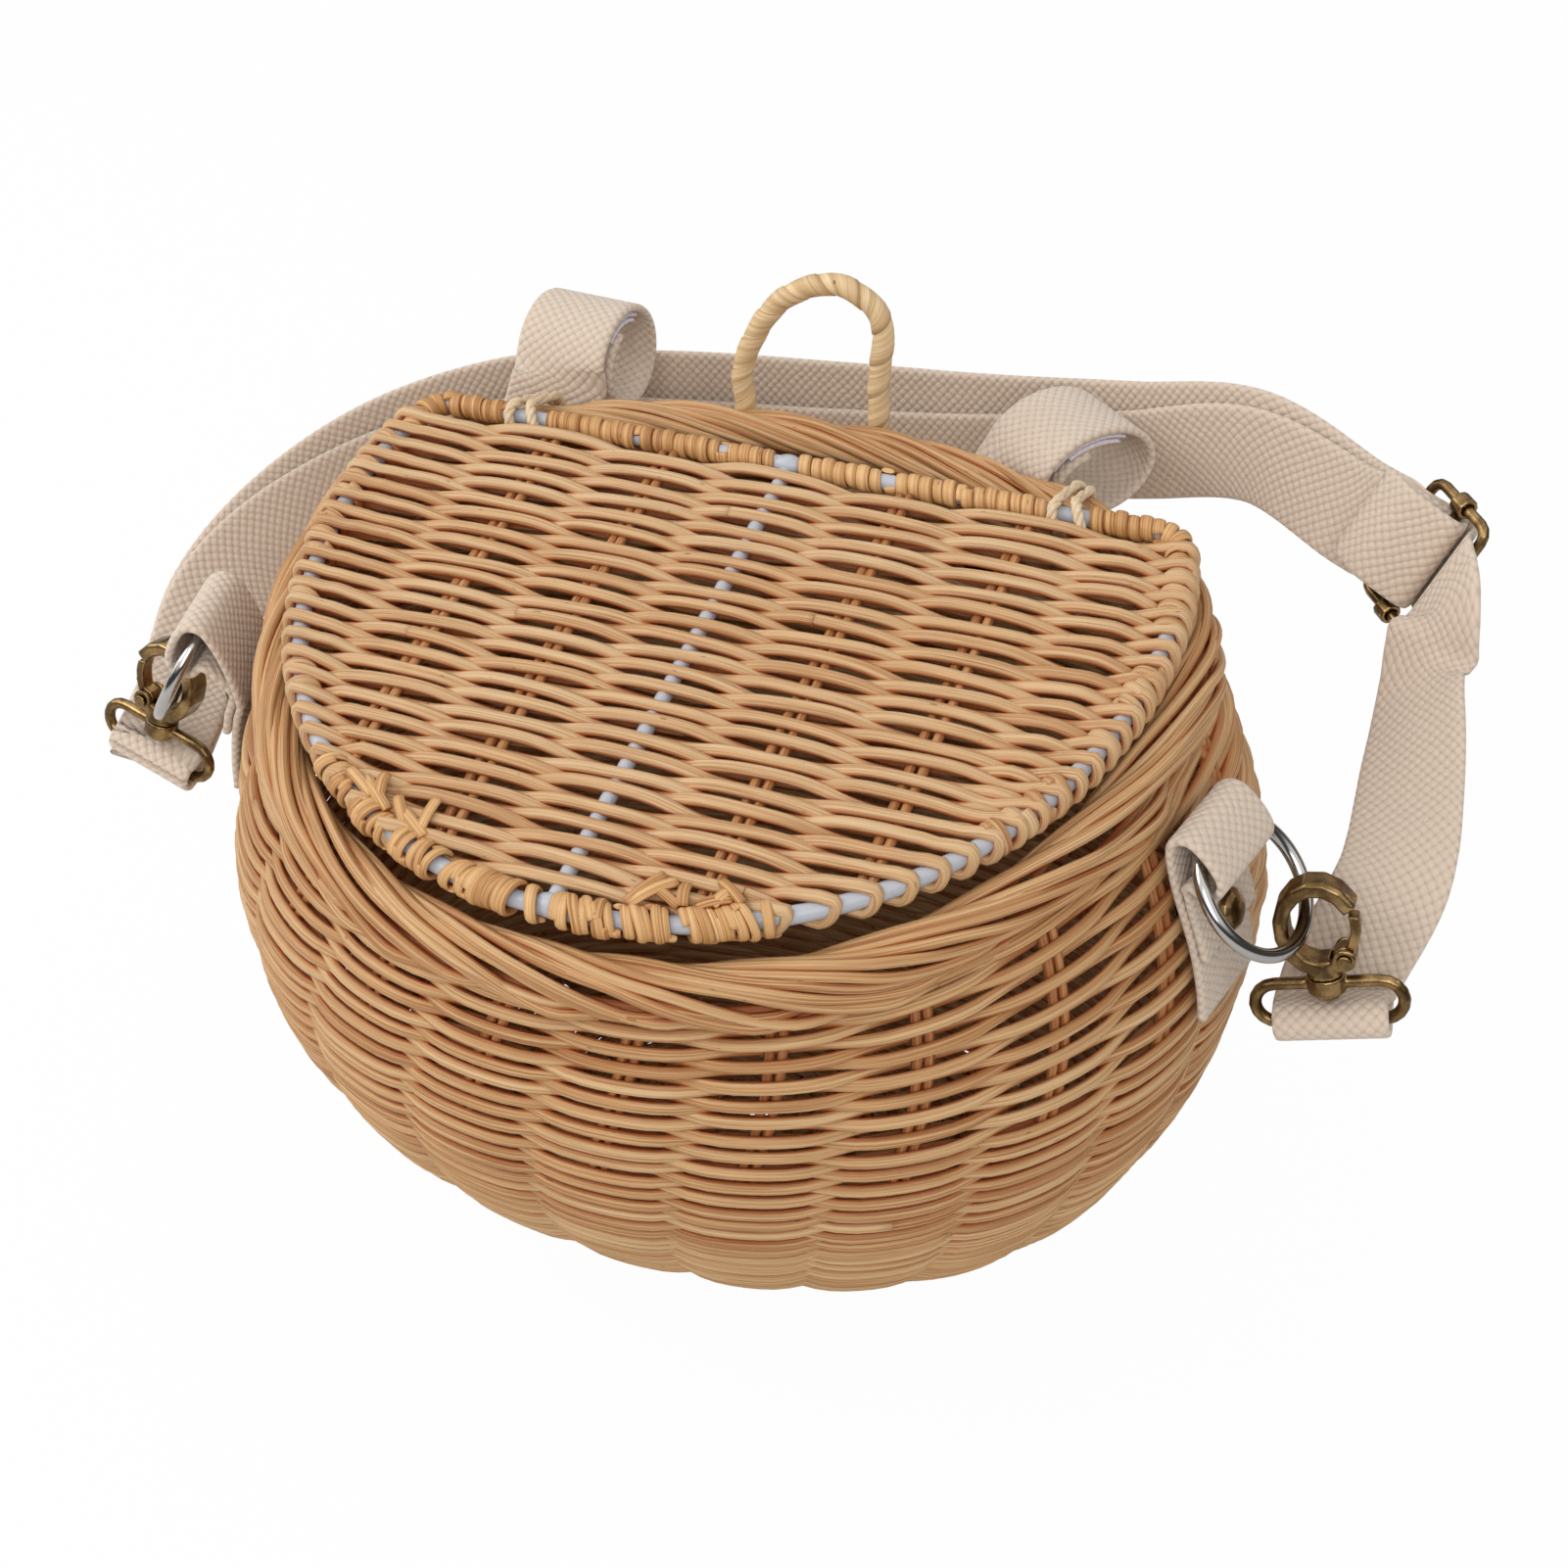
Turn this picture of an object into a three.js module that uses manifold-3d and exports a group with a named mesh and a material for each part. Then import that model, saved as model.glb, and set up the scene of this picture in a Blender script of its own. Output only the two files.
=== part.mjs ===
// A child's rattan handlebar basket: a creel-shaped bowl with a sloping hinged lid,
// two hook-and-loop handlebar straps and a webbing shoulder strap on claw hooks.
// Millimetres, +Z up, front towards -Y, origin under the middle of the floor.
import * as THREE from 'three';
import { mergeVertices } from 'three/addons/utils/BufferGeometryUtils.js';
import Module from 'manifold-3d';

const { Vector2, Vector3 } = THREE;

// Bowl: three ovals, each with its half width and its reach to the front and the back
const BASE_HALF_WIDTH = 80;
const BASE_FRONT = 54;
const BASE_BACK = 40;
const BELLY_HALF_WIDTH = 124;
const BELLY_FRONT = 116;
const BELLY_BACK = 61;
const BELLY_HEIGHT = 104;
const RIM_HALF_WIDTH = 106;
const RIM_FRONT = 111;
const RIM_BACK = 50;
const RIM_HEIGHT = 177.5;
const OVAL_POWER = 2.15;
const LOWER_FULLNESS = 1.9;
const FLOOR_THICKNESS = 3;
const SKIN = 2.6;

// Stakes: pairs of rods that the weave bulges over
const STAKE_COUNT = 21;
const STAKE_PHASE = 0.5;
const STAKE_LEAN = 0.4;
const STAKE_WIDTH = 6;
const STAKE_THICKNESS = 2.8;
const STAKE_RELIEF = 2.7;
const STAKE_TOP_LEVEL = 1.85;
const LASHING_RADIUS = 22;
const LASHING_THICKNESS = 3.4;

// Border, lid and its hinge
const BORDER_WIDTH = 11;
const BORDER_HEIGHT = 10;
const HINGE_Y = 29.5;
const HINGE_RISE = 9.5;
const LID_SLOPE_DEG = 11.7;
const LID_HINGE_HALF = 96;
const LID_HALF_WIDTH = 100;
const LID_WIDEST_DEPTH = 32;
const LID_DEPTH = 137;
const LID_FRONT_POWER = 2.05;
const LID_CORNER = 6;
const LID_WIRE = 4;
const LID_CENTRE_WIRE = 3.6;
const LID_STAKE_SPACING = 30;
const LID_PANEL_START = 7;
const CANE = 1.1;
const FRONT_BINDING_LEFT = 62;
const FRONT_BINDING_RIGHT = 46;
const TIE_X = 69;
const TIE_CORD = 3.2;
const TIE_TURNS = 2;

// Handle at the back
const HANDLE_LEFT_X = -23;
const HANDLE_RIGHT_X = 12;
const HANDLE_TOP = 224;
const HANDLE_LEAN = 8;
const HANDLE_CORE = 4.2;
const HANDLE_WRAP = 1;
const HANDLE_FOOT_LEVEL = 1.72;
const HANDLE_BED = 0.5;

// Webbing and metalware
const WEBBING_WIDTH = 25;
const WEBBING = 2;
const CLEARANCE = 0.3;
const RIVET_HEAD = 10;
const RIVET_DOME = 2.6;
const RIVET_SHANK = 3;
const WASHER = 10;
const WASHER_THICKNESS = 1;
const RING_RADIUS = 15.5;
const RING_WIRE = 3.2;
const RING_PLAY = 1.5;
const RIGHT_TAB_PLACE = 19.4;
const RIGHT_TAB_REACH = 9;
const RIGHT_RING_DROP_DEG = 45;
const LEFT_TAB_PLACE = 9.5;
const LEFT_TAB_REACH = 17;
const LEFT_RING_DROP_DEG = 60;
const TAB_TAIL_LEVEL = 1.12;
const TAB_RIVET_LEVEL = 1.5;
const TAB_ROLL_LEVEL = 1.88;

// Claw hook, in the plane of its claw: across and up from the swivel
const HOOK_THICKNESS = 7;
const CLAW_HALF_WIDTH = 9.5;
const CLAW_HALF_HEIGHT = 11.5;
const CLAW_CENTRE = 14.3;
const CLAW_OPEN_HALF_WIDTH = 6.2;
const CLAW_OPEN_HALF_HEIGHT = 7.8;
const CLAW_NOSE_DEG = 28;
const CLAW_HEEL_DEG = -52;
const HOOK_CHAMFER = 0.7;
const HOOK_LEAN_DEG = 14;
const HOOK_TIP_BACK_DEG = 12;
const HOOK_YAW_DEG = 20;
const HOOK_OFFSET = 3;
const GATE_THICKNESS = 4;
const GATE_BAND = 2.2;
const GATE_EYE = 5.2;
const GATE_SLOT = 4.6;
const PIN = 1.9;
const PIN_HEAD = 3.4;
const SPRING_RADIUS = 1.7;
const SPRING_WIRE = 0.6;
const SPRING_PITCH = 1.05;
const SPRING_TURNS = 1.5;
const POST = 3.8;
const POST_HEAD = 5.8;
const POST_HEAD_THICKNESS = 1;
const HUB = 8.4;
const HUB_HALF_HEIGHT = 2;
const EYE_WIRE = 3;
const EYE_STRAIGHT = 22.5;
const EYE_END_RADIUS = 4.75;

// Shoulder strap: its way from the left hook round the back to the slider, chosen by hand
const STRAP_ROUTE = [
  [-155.5, -14, 114], [-160, 12, 126], [-152, 41, 138], [-132, 64, 150], [-97, 81, 160], [-57, 91, 162.5],
  [-16, 97, 163.5], [26, 100, 165.5], [66, 99.5, 170.5], [98, 92, 177.5], [126, 79, 171],
];
const STRAP_EDGE = [
  [-0.95, 0.1, 0.3], [-0.8, -0.15, 0.6], [-0.55, -0.25, 0.8], [-0.25, -0.15, 0.95], [0, 0, 1], [0, 0, 1],
  [0, 0, 1], [0, 0, 1], [0, 0, 1], [0.05, 0.1, 1], [0.28, 0.28, 0.9],
];
const SLIDER_AT = [144.5, 66, 169];
const SLIDER_ALONG = [0.66, -0.73, -0.12];
const SLIDER_ACROSS = [0.41, 0.23, 0.88];
const RIGHT_RUN = [[150.5, 40, 155], [153.5, 18, 144.5], [155.5, -8, 133]];
const RIGHT_RUN_EDGE = [[0.5, 0.25, 0.8], [0.8, 0.2, 0.5], [0.92, 0.25, 0.25]];
const LAYER_GAP = 0.8;
const RETURN_DROP = 1.5;
const RETURN_SAG = 11;
const STRAP_TAIL_STEPS = 3;
const SLIDER_WIRE = 2.8;
const SLIDER_HALF_LENGTH = 10.5;
const SLIDER_SIDE_PLAY = 1.6;
const SLIDER_CORNER = 3;

// Handlebar straps
const BAR_STRAP_LEFT_X = -72;
const BAR_STRAP_RIGHT_X = 46;
const LEFT_BAR_LOOP = { middle: [-71, 68, 184.5], yawDeg: 4, halfDepth: 15.5, halfHeight: 15.5 };
const RIGHT_BAR_LOOP = { middle: [56, 76, 174], yawDeg: 38, halfDepth: 18, halfHeight: 13.5 };
const BAR_STRAP_TAIL_LEVEL = 1.5;
const BAR_STRAP_RIVET_LEVEL = 1.66;
const TAPE = 1;
const TAPE_WIDTH = 23;

// Finishes
const finish = (color, roughness, metalness = 0) => (
  new THREE.MeshStandardMaterial({ color, roughness, metalness })
);
const RATTAN = finish(0xcda56e, 0.55);
const STAKE_RATTAN = finish(0xc0925a, 0.6);
const LID_RATTAN = finish(0xdab27a, 0.55);
const STRAW = finish(0xe1c896, 0.6);
const CANE_FINISH = finish(0xd2a868, 0.5);
const PAINTED_WIRE = finish(0xc8cbd2, 0.4, 0.2);
const CORD_FINISH = finish(0xe1cdaa, 0.85);
const COTTON = finish(0xd7c6af, 0.9);
const TAPE_FINISH = finish(0xe1d7e1, 0.9);
const ANTIQUE_BRASS = finish(0x6e5532, 0.35, 1);
const NICKEL = finish(0xd0d0d2, 0.12, 1);
const SPRING_STEEL = finish(0x8a8a8a, 0.3, 1);

const UP = new Vector3(0, 0, 1);
const lidSlope = THREE.MathUtils.degToRad(LID_SLOPE_DEG);
const hingeZ = RIM_HEIGHT + HINGE_RISE;
const counted = (count, make) => Array.from({ length: count }, (_, i) => make(i));

const wasm = await Module();
wasm.setup();

const object = new THREE.Group();

function piece(parent, name, geometry, material) {
  const mesh = new THREE.Mesh(geometry, material);
  mesh.name = name;
  parent.add(mesh);
  return mesh;
}

// Skin over a row of rings that turn right-handed about the way they travel.
// A closed row joins its last ring to its first; an open one gets flat end fans.
function loft(rings, closed = false) {
  const count = rings[0].length;
  const points = rings.flat();
  const faces = [];
  const rows = closed ? rings.length : rings.length - 1;
  for (let row = 0; row < rows; row++) {
    const here = row * count;
    const next = ((row + 1) % rings.length) * count;
    for (let j = 0; j < count; j++) {
      const k = (j + 1) % count;
      faces.push(here + j, here + k, next + k, here + j, next + k, next + j);
    }
  }
  const fan = (ring, start, forward) => {
    const centre = ring.reduce((sum, p) => sum.add(p), new Vector3()).divideScalar(count);
    const middle = points.push(centre) - 1;
    for (let j = 0; j < count; j++) {
      const k = (j + 1) % count;
      faces.push(middle, start + (forward ? j : k), start + (forward ? k : j));
    }
  };
  if (!closed) {
    fan(rings[0], 0, false);
    fan(rings[rings.length - 1], (rings.length - 1) * count, true);
  }
  const geometry = new THREE.BufferGeometry();
  const coordinates = points.flatMap((p) => [p.x, p.y, p.z]);
  geometry.setAttribute('position', new THREE.Float32BufferAttribute(coordinates, 3));
  geometry.setIndex(faces);
  return geometry;
}

// Stations along points: each has its place, the way along, an edge direction and the face normal
function stations(points, edges, closed = false) {
  const last = points.length - 1;
  return points.map((at, i) => {
    const before = points[closed ? (i + last) % points.length : Math.max(i - 1, 0)];
    const after = points[closed ? (i + 1) % points.length : Math.min(i + 1, last)];
    const along = after.clone().sub(before).normalize();
    const edge = (Array.isArray(edges) ? edges[i] : edges).clone();
    const across = edge.addScaledVector(along, -edge.dot(along)).normalize();
    return { at, along, across, face: along.clone().cross(across) };
  });
}

const offset = (station, across, face) =>
  station.at.clone().addScaledVector(station.across, across).addScaledVector(station.face, face);

const sweep = (path, section, closed = false) =>
  loft(path.map((station) => section.map(([across, face]) => offset(station, across, face))), closed);

const flat = (width, thickness) => [
  [-width / 2, -thickness / 2], [width / 2, -thickness / 2], [width / 2, thickness / 2],
  [-width / 2, thickness / 2],
];

const oval = (width, height, sides) => counted(sides, (i) => {
  const angle = (2 * Math.PI * (i + 0.5)) / sides;
  return [width / 2 * Math.cos(angle), height / 2 * Math.sin(angle)];
});

// Smooth run through hand-set points, with an edge direction that turns along with it
function ribbonRun(points, edges, count) {
  const route = new THREE.CatmullRomCurve3(points, false, 'centripetal');
  const turning = new THREE.CatmullRomCurve3(edges, false, 'centripetal');
  const last = points.length - 1;
  const places = counted(count + 1, (i) => i / count);
  return stations(places.map((u) => route.getPoint(u)), places.map((u) => turning.getPoint(u)));
}

function solid(geometry) {
  const bare = geometry.clone();
  bare.deleteAttribute('normal');
  bare.deleteAttribute('uv');
  const merged = mergeVertices(bare, 1e-4);
  return new wasm.Manifold(new wasm.Mesh({
    numProp: 3,
    vertProperties: new Float32Array(merged.attributes.position.array),
    triVerts: new Uint32Array(merged.index.array),
  }));
}

function geometryOf(manifold) {
  const mesh = manifold.getMesh();
  const geometry = new THREE.BufferGeometry();
  geometry.setAttribute('position', new THREE.BufferAttribute(new Float32Array(mesh.vertProperties), 3));
  geometry.setIndex(new THREE.BufferAttribute(new Uint32Array(mesh.triVerts), 1));
  return geometry;
}

const cut = (geometry, ...tools) => (
  geometryOf(tools.reduce((body, tool) => body.subtract(solid(tool)), solid(geometry)))
);
const join = (geometry, ...others) => (
  geometryOf(others.reduce((body, other) => body.add(solid(other)), solid(geometry)))
);
const overlapOf = (geometry, other) => geometryOf(solid(geometry).intersect(solid(other)));

// Round rod from one point to another
function rod(from, to, diameter, sides = 12) {
  const way = to.clone().sub(from);
  const geometry = new THREE.CylinderGeometry(diameter / 2, diameter / 2, way.length(), sides);
  geometry.applyQuaternion(new THREE.Quaternion().setFromUnitVectors(new Vector3(0, 1, 0),
    way.clone().normalize()));
  return geometry.translate(...from.clone().add(to).multiplyScalar(0.5).toArray());
}

// Turned piece on an axis through a point: profile of [radius, along]
function turned(profile, origin, axis, sides = 16) {
  const geometry = new THREE.LatheGeometry(profile.map(([r, h]) => new Vector2(r, h)), sides);
  geometry.applyQuaternion(new THREE.Quaternion().setFromUnitVectors(new Vector3(0, 1, 0),
    axis.clone().normalize()));
  return geometry.translate(...origin.toArray());
}

// Bowl surface
const base = { halfWidth: BASE_HALF_WIDTH, front: BASE_FRONT, back: BASE_BACK };
const belly = { halfWidth: BELLY_HALF_WIDTH, front: BELLY_FRONT, back: BELLY_BACK };
const rim = { halfWidth: RIM_HALF_WIDTH, front: RIM_FRONT, back: RIM_BACK };

function ovalPoint(size, angle) {
  const c = Math.cos(angle);
  const s = Math.sin(angle);
  const reach = s < 0 ? size.front : size.back;
  const round = (value) => Math.sign(value) * Math.abs(value) ** (2 / OVAL_POWER);
  return new Vector2(size.halfWidth * round(c), reach * round(s));
}

const ANGLE_STEPS = 1440;
const bellyWay = [0];
for (let i = 1; i <= ANGLE_STEPS; i++) {
  const step = 2 * Math.PI / ANGLE_STEPS;
  bellyWay.push(bellyWay[i - 1] + ovalPoint(belly, i * step).distanceTo(ovalPoint(belly, (i - 1) * step)));
}

// Angle at a place counted in stakes, evenly spaced round the belly
function angleAt(place) {
  const turn = (((place + STAKE_PHASE) / STAKE_COUNT) % 1 + 1) % 1;
  const way = turn * bellyWay[ANGLE_STEPS];
  const i = Math.max(1, bellyWay.findIndex((value) => value >= way));
  const share = (way - bellyWay[i - 1]) / (bellyWay[i] - bellyWay[i - 1]);
  return (i - 1 + share) * 2 * Math.PI / ANGLE_STEPS;
}

function blend(from, to, share) {
  const mix = (key) => from[key] + (to[key] - from[key]) * share;
  return { halfWidth: mix('halfWidth'), front: mix('front'), back: mix('back') };
}

// Level 0 is the floor's edge, 1 the belly and 2 the wall's top edge
const sizeAt = (level) => (level < 1
  ? blend(base, belly, 1 - (1 - level) ** LOWER_FULLNESS)
  : blend(rim, belly, 1 - (level - 1) ** 2));
const rimHeight = (y) => RIM_HEIGHT + (y - HINGE_Y) * Math.tan(lidSlope);
const wallTop = (y) => rimHeight(y) - BORDER_HEIGHT / 2 - CLEARANCE;

function surface(place, level) {
  const p = ovalPoint(sizeAt(level), angleAt(place + STAKE_LEAN * (level - 1)));
  const above = BELLY_HEIGHT + (wallTop(p.y) - BELLY_HEIGHT) * (level - 1);
  const height = level < 1 ? BELLY_HEIGHT * level : above;
  return new Vector3(p.x, p.y, height);
}

// Point of the wall, moved out along its normal; the floor's edge and the top edge move level
function wall(place, level, out = 0) {
  const along = surface(place + 0.03, level).sub(surface(place - 0.03, level)).setZ(0).normalize();
  const rise = surface(place, level + 0.03).sub(surface(place, Math.max(level - 0.03, 0)));
  const normal = along.clone().cross(rise);
  if (level <= 0 || level >= 2) normal.setZ(0);
  normal.normalize();
  return { point: surface(place, level).addScaledVector(normal, out), normal, along };
}

const relief = (place, level) => (
  STAKE_RELIEF * (0.5 + 0.5 * Math.cos(2 * Math.PI * place)) * Math.min(1, 0.4 + 3 * level)
);
const WALL_LEVELS = [0.2, 0.45, 0.75, 1, 1.3, 1.6, STAKE_TOP_LEVEL, 2];
const floorLevel = FLOOR_THICKNESS / BELLY_HEIGHT;
const floorMiddle = new Vector3(0, (BASE_BACK - BASE_FRONT) / 2, 0);

// How far in or out of the wall things sit: on the bulges outside, under them inside
const outsideSeat = SKIN / 2 + STAKE_RELIEF + WEBBING / 2;
const insideSeat = -SKIN / 2 - 2 * CLEARANCE;

// Rivets that hold webbing to the wall, with a washer inside
function rivet(place, level, stack) {
  const { point, normal } = wall(place, level);
  const headSeat = outsideSeat - WEBBING / 2 + stack + CLEARANCE;
  const tailEnd = insideSeat - WASHER_THICKNESS - CLEARANCE;
  const r = RIVET_SHANK / 2;
  const R = RIVET_HEAD / 2;
  const domeSteps = 4;
  const dome = counted(domeSteps + 1, (i) => {
    const angle = i / domeSteps * Math.PI / 2;
    return [R * Math.cos(angle), headSeat + 0.4 + RIVET_DOME * Math.sin(angle)];
  });
  dome[domeSteps][0] = 0;
  const flare = RIVET_SHANK * 0.8;
  const body = turned([[0, tailEnd - 0.8], [flare, tailEnd - 0.8], [flare, tailEnd], [r, tailEnd],
    [r, headSeat],
    [R, headSeat], ...dome], point, normal, 14);
  const hole = r + CLEARANCE;
  const washer = turned([[hole, insideSeat - WASHER_THICKNESS], [WASHER / 2, insideSeat - WASHER_THICKNESS],
    [WASHER / 2, insideSeat], [hole, insideSeat],
    [hole, insideSeat - WASHER_THICKNESS]], point, normal, 14);
  const drill = rod(point.clone().addScaledVector(normal, -20), point.clone().addScaledVector(normal, 20),
    2 * hole, 10);
  return { body, washer, drill };
}

// Place on the back of the wall that lies at a given x, counted on from a first place in steps
function backPlace(x, first = 0, step = 0.025) {
  const nearness = (place) => {
    const { point } = wall(place, 2);
    return point.y > 0 ? Math.abs(point.x - x) : Infinity;
  };
  const places = counted(Math.floor(STAKE_COUNT / 2 / step), (i) => first + i * step);
  return places.reduce((best, place) => (nearness(place) < nearness(best) ? place : best));
}

// Webbing is riveted on between two stakes
const barPlaces = { left: backPlace(BAR_STRAP_LEFT_X, 0.5, 1),
  right: backPlace(BAR_STRAP_RIGHT_X, 0.5, 1) };
const tabPlaces = { left: LEFT_TAB_PLACE, right: RIGHT_TAB_PLACE };
const sides = ['left', 'right'];
const tabRivets = {};
const barRivets = {};
for (const side of sides) {
  tabRivets[side] = rivet(tabPlaces[side], TAB_RIVET_LEVEL, 2 * WEBBING + CLEARANCE);
  barRivets[side] = rivet(barPlaces[side], BAR_STRAP_RIVET_LEVEL, WEBBING);
}

// Woven floor and wall, bulging over every stake, open under the border where the ties pass
function wovenShell() {
  const places = counted(STAKE_COUNT * 3, (i) => i / 3);
  const ring = (level, out) => places.map((place) => wall(place, level, out + relief(place, level)).point);
  const outside = [0, ...WALL_LEVELS].map((level) => ring(level, SKIN / 2));
  const inside = [floorLevel, ...WALL_LEVELS].map((level) => ring(level, -SKIN / 2));
  inside[0].forEach((point) => point.setZ(FLOOR_THICKNESS));
  const bowl = loft([...outside, ...inside.reverse()]);
  const slots = [-1, 1].map((side) => {
    const y = borderBackY(side * TIE_X);
    const wide = TIE_TURNS * (TIE_CORD + 0.5) + 3;
    const high = TIE_CORD + 2 * CLEARANCE + 2;
    return new THREE.BoxGeometry(wide, 40, 2 * high).translate(side * TIE_X, y, wallTop(y));
  });
  return cut(bowl, ...slots, ...sides.map((side) => tabRivets[side].drill),
    ...sides.map((side) => barRivets[side].drill));
}

// Stake pairs: lashed together in the middle of the floor, then up inside the bulges of the wall
function stakeFrame() {
  const floorTop = FLOOR_THICKNESS + CLEARANCE + LASHING_THICKNESS / 2;
  const seat = -SKIN / 2 - 2.5 * CLEARANCE - STAKE_THICKNESS / 2;
  const w = STAKE_WIDTH / 2;
  const t = STAKE_THICKNESS / 2;
  const section = [[-w / 2, -t], [w / 2, -t], [w, t], [-w, t]];
  const lashing = new THREE.CylinderGeometry(LASHING_RADIUS, LASHING_RADIUS, LASHING_THICKNESS,
    2 * STAKE_COUNT);
  lashing.rotateX(Math.PI / 2).translate(floorMiddle.x, floorMiddle.y, floorTop);
  const levels = WALL_LEVELS.slice(0, -1);
  const stakes = counted(STAKE_COUNT, (place) => {
    const edge = wall(place, floorLevel, -SKIN / 2 - 6).point.setZ(floorTop);
    const middle = new Vector3(floorMiddle.x, floorMiddle.y, floorTop);
    const start = middle.clone().lerp(edge, 0.75 * LASHING_RADIUS / middle.distanceTo(edge));
    const up = levels.map((level) => wall(place, level, seat + relief(place, level)).point);
    const edges = [floorLevel, floorLevel, ...levels].map((level) => wall(place, level).along);
    return sweep(stations([start, edge, ...up], edges), section);
  });
  return join(lashing, ...stakes);
}

// Rolled border on the wall's top edge
function rimBorder() {
  const places = counted(STAKE_COUNT * 3, (i) => i / 3);
  const points = places.map((place) => {
    const { point } = wall(place, 2);
    return point.setZ(rimHeight(point.y));
  });
  return sweep(stations(points, UP, true), oval(BORDER_HEIGHT, BORDER_WIDTH, 8), true);
}

function borderBackY(x) {
  return RIM_BACK * (1 - (Math.abs(x) / RIM_HALF_WIDTH) ** OVAL_POWER) ** (1 / OVAL_POWER);
}

piece(object, 'woven_shell', wovenShell(), RATTAN);
piece(object, 'stake_frame', stakeFrame(), STAKE_RATTAN);
piece(object, 'rim_border', rimBorder(), RATTAN);

// Handle: a bent rod behind the border, its feet against the wall, wound with a flat strip
function handlePath() {
  const outer = HANDLE_CORE / 2 + HANDLE_WRAP + CLEARANCE;
  const gap = SKIN / 2 + STAKE_RELIEF + 2 * CLEARANCE + outer;
  const leg = (x) => {
    const place = backPlace(x);
    const foot = wall(place, HANDLE_FOOT_LEVEL, gap).point.setX(x);
    const behind = borderBackY(x) + BORDER_WIDTH / 2 + outer - HANDLE_BED;
    return [foot, new Vector3(x, behind, rimHeight(behind)),
      new Vector3(x, behind, rimHeight(behind) + 12)];
  };
  const left = leg(HANDLE_LEFT_X);
  const right = leg(HANDLE_RIGHT_X);
  const middle = (HANDLE_LEFT_X + HANDLE_RIGHT_X) / 2;
  const half = (HANDLE_RIGHT_X - HANDLE_LEFT_X) / 2;
  const spring = left[2].z + 4;
  const arch = [0.5, 0, -0.5].map((share) => {
    const angle = Math.PI / 2 + share * Math.PI / 2;
    const rise = Math.sin(angle);
    return new Vector3(middle + half * Math.cos(angle) + HANDLE_LEAN * rise, left[2].y,
      spring + (HANDLE_TOP - outer - spring) * rise);
  });
  const curve = new THREE.CatmullRomCurve3([...left, ...arch, ...right.reverse()], false, 'centripetal');
  return stations(curve.getSpacedPoints(20), new Vector3(0, 1, 0));
}

const handle = handlePath();
piece(object, 'handle_core', sweep(handle, oval(HANDLE_CORE, HANDLE_CORE, 6)), STAKE_RATTAN);
const wrapInside = HANDLE_CORE + 2 * CLEARANCE;
piece(object, 'handle_wrap', sleeve(handle.slice(1, -1), wrapInside, wrapInside + 2 * HANDLE_WRAP, 6),
  STRAW);

// Hollow tube along stations
function sleeve(path, bore, outside, around = 8) {
  const ring = (diameter) => (station) => (
    oval(diameter, diameter, around).map(([a, f]) => offset(station, a, f))
  );
  return loft([...path.map(ring(outside)), ...path.map(ring(bore)).reverse()], true);
}

// Lid, in its own plane: hinge bar along X at the back, front towards -Y
const lid = new THREE.Group();
lid.position.set(0, HINGE_Y, hingeZ);
lid.rotation.x = lidSlope;
object.add(lid);

function lidOutline(inset, back) {
  const wide = LID_HALF_WIDTH - inset;
  const hinge = LID_HINGE_HALF - inset;
  const reach = LID_DEPTH - inset - LID_WIDEST_DEPTH;
  const corner = [[hinge - LID_CORNER, back], [hinge - 0.29 * LID_CORNER, back + 0.29 * LID_CORNER],
    [hinge, back + LID_CORNER]];
  const side = [0.4, 0.75].map((share) => [hinge + (wide - hinge) * (1 - (1 - share) ** 2),
    back + LID_CORNER
    + share * (LID_WIDEST_DEPTH - back - LID_CORNER)]);
  const frontSteps = 9;
  const front = counted(frontSteps, (i) => {
    const angle = (i / frontSteps) * Math.PI / 2;
    return [wide * Math.cos(angle) ** (2 / LID_FRONT_POWER),
      LID_WIDEST_DEPTH + reach * Math.sin(angle) ** (2 / LID_FRONT_POWER)];
  });
  const right = [...corner, ...side, ...front];
  const left = right.map(([x, depth]) => [-x, depth]).reverse();
  return [...right, [0, LID_WIDEST_DEPTH + reach], ...left].map(([x, depth]) => new Vector2(x, -depth));
}

const bindingRadius = LID_WIRE / 2 + CLEARANCE + CANE;
const panelInset = bindingRadius + CLEARANCE;
const framePath = stations(lidOutline(0, 0).map((p) => new Vector3(p.x, p.y, 0)), UP, true);
const frameLoop = sweep(framePath, oval(LID_WIRE, LID_WIRE, 8), true);
const centreWire = rod(new Vector3(0, 0, 0), new Vector3(0, -LID_DEPTH, 0), LID_CENTRE_WIRE, 8);
piece(lid, 'lid_wire_frame', join(frameLoop, centreWire), PAINTED_WIRE);

// Panel: a sheet that bulges over the centre wire and the stakes, cut to the lid's outline
const LID_RELIEF = LID_CENTRE_WIRE / 2 + SKIN / 2 + CLEARANCE;
const panelCut = new THREE.ExtrudeGeometry(new THREE.Shape(lidOutline(panelInset, LID_PANEL_START)), {
  depth: 40, bevelEnabled: false,
}).translate(0, 0, -20);

function lidWeave() {
  const step = LID_STAKE_SPACING / 4;
  const half = Math.ceil(LID_HALF_WIDTH / step);
  const bulge = (x) => LID_RELIEF * (Math.abs(x) > 2.5 * LID_STAKE_SPACING
    ? 0 : 0.5 + 0.5 * Math.cos(2 * Math.PI * x / LID_STAKE_SPACING));
  const line = counted(2 * half + 1, (i) => (i - half) * step);
  const top = line.map((x) => new Vector2(x, bulge(x) + SKIN / 2));
  const under = line.map((x) => new Vector2(x, bulge(x) - SKIN / 2)).reverse();
  const sheet = new THREE.ExtrudeGeometry(new THREE.Shape([...under, ...top]),
    { depth: 2 * LID_DEPTH, bevelEnabled: false });
  sheet.translate(0, 0, -LID_DEPTH / 2).rotateX(Math.PI / 2);
  return overlapOf(sheet, panelCut);
}
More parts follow.
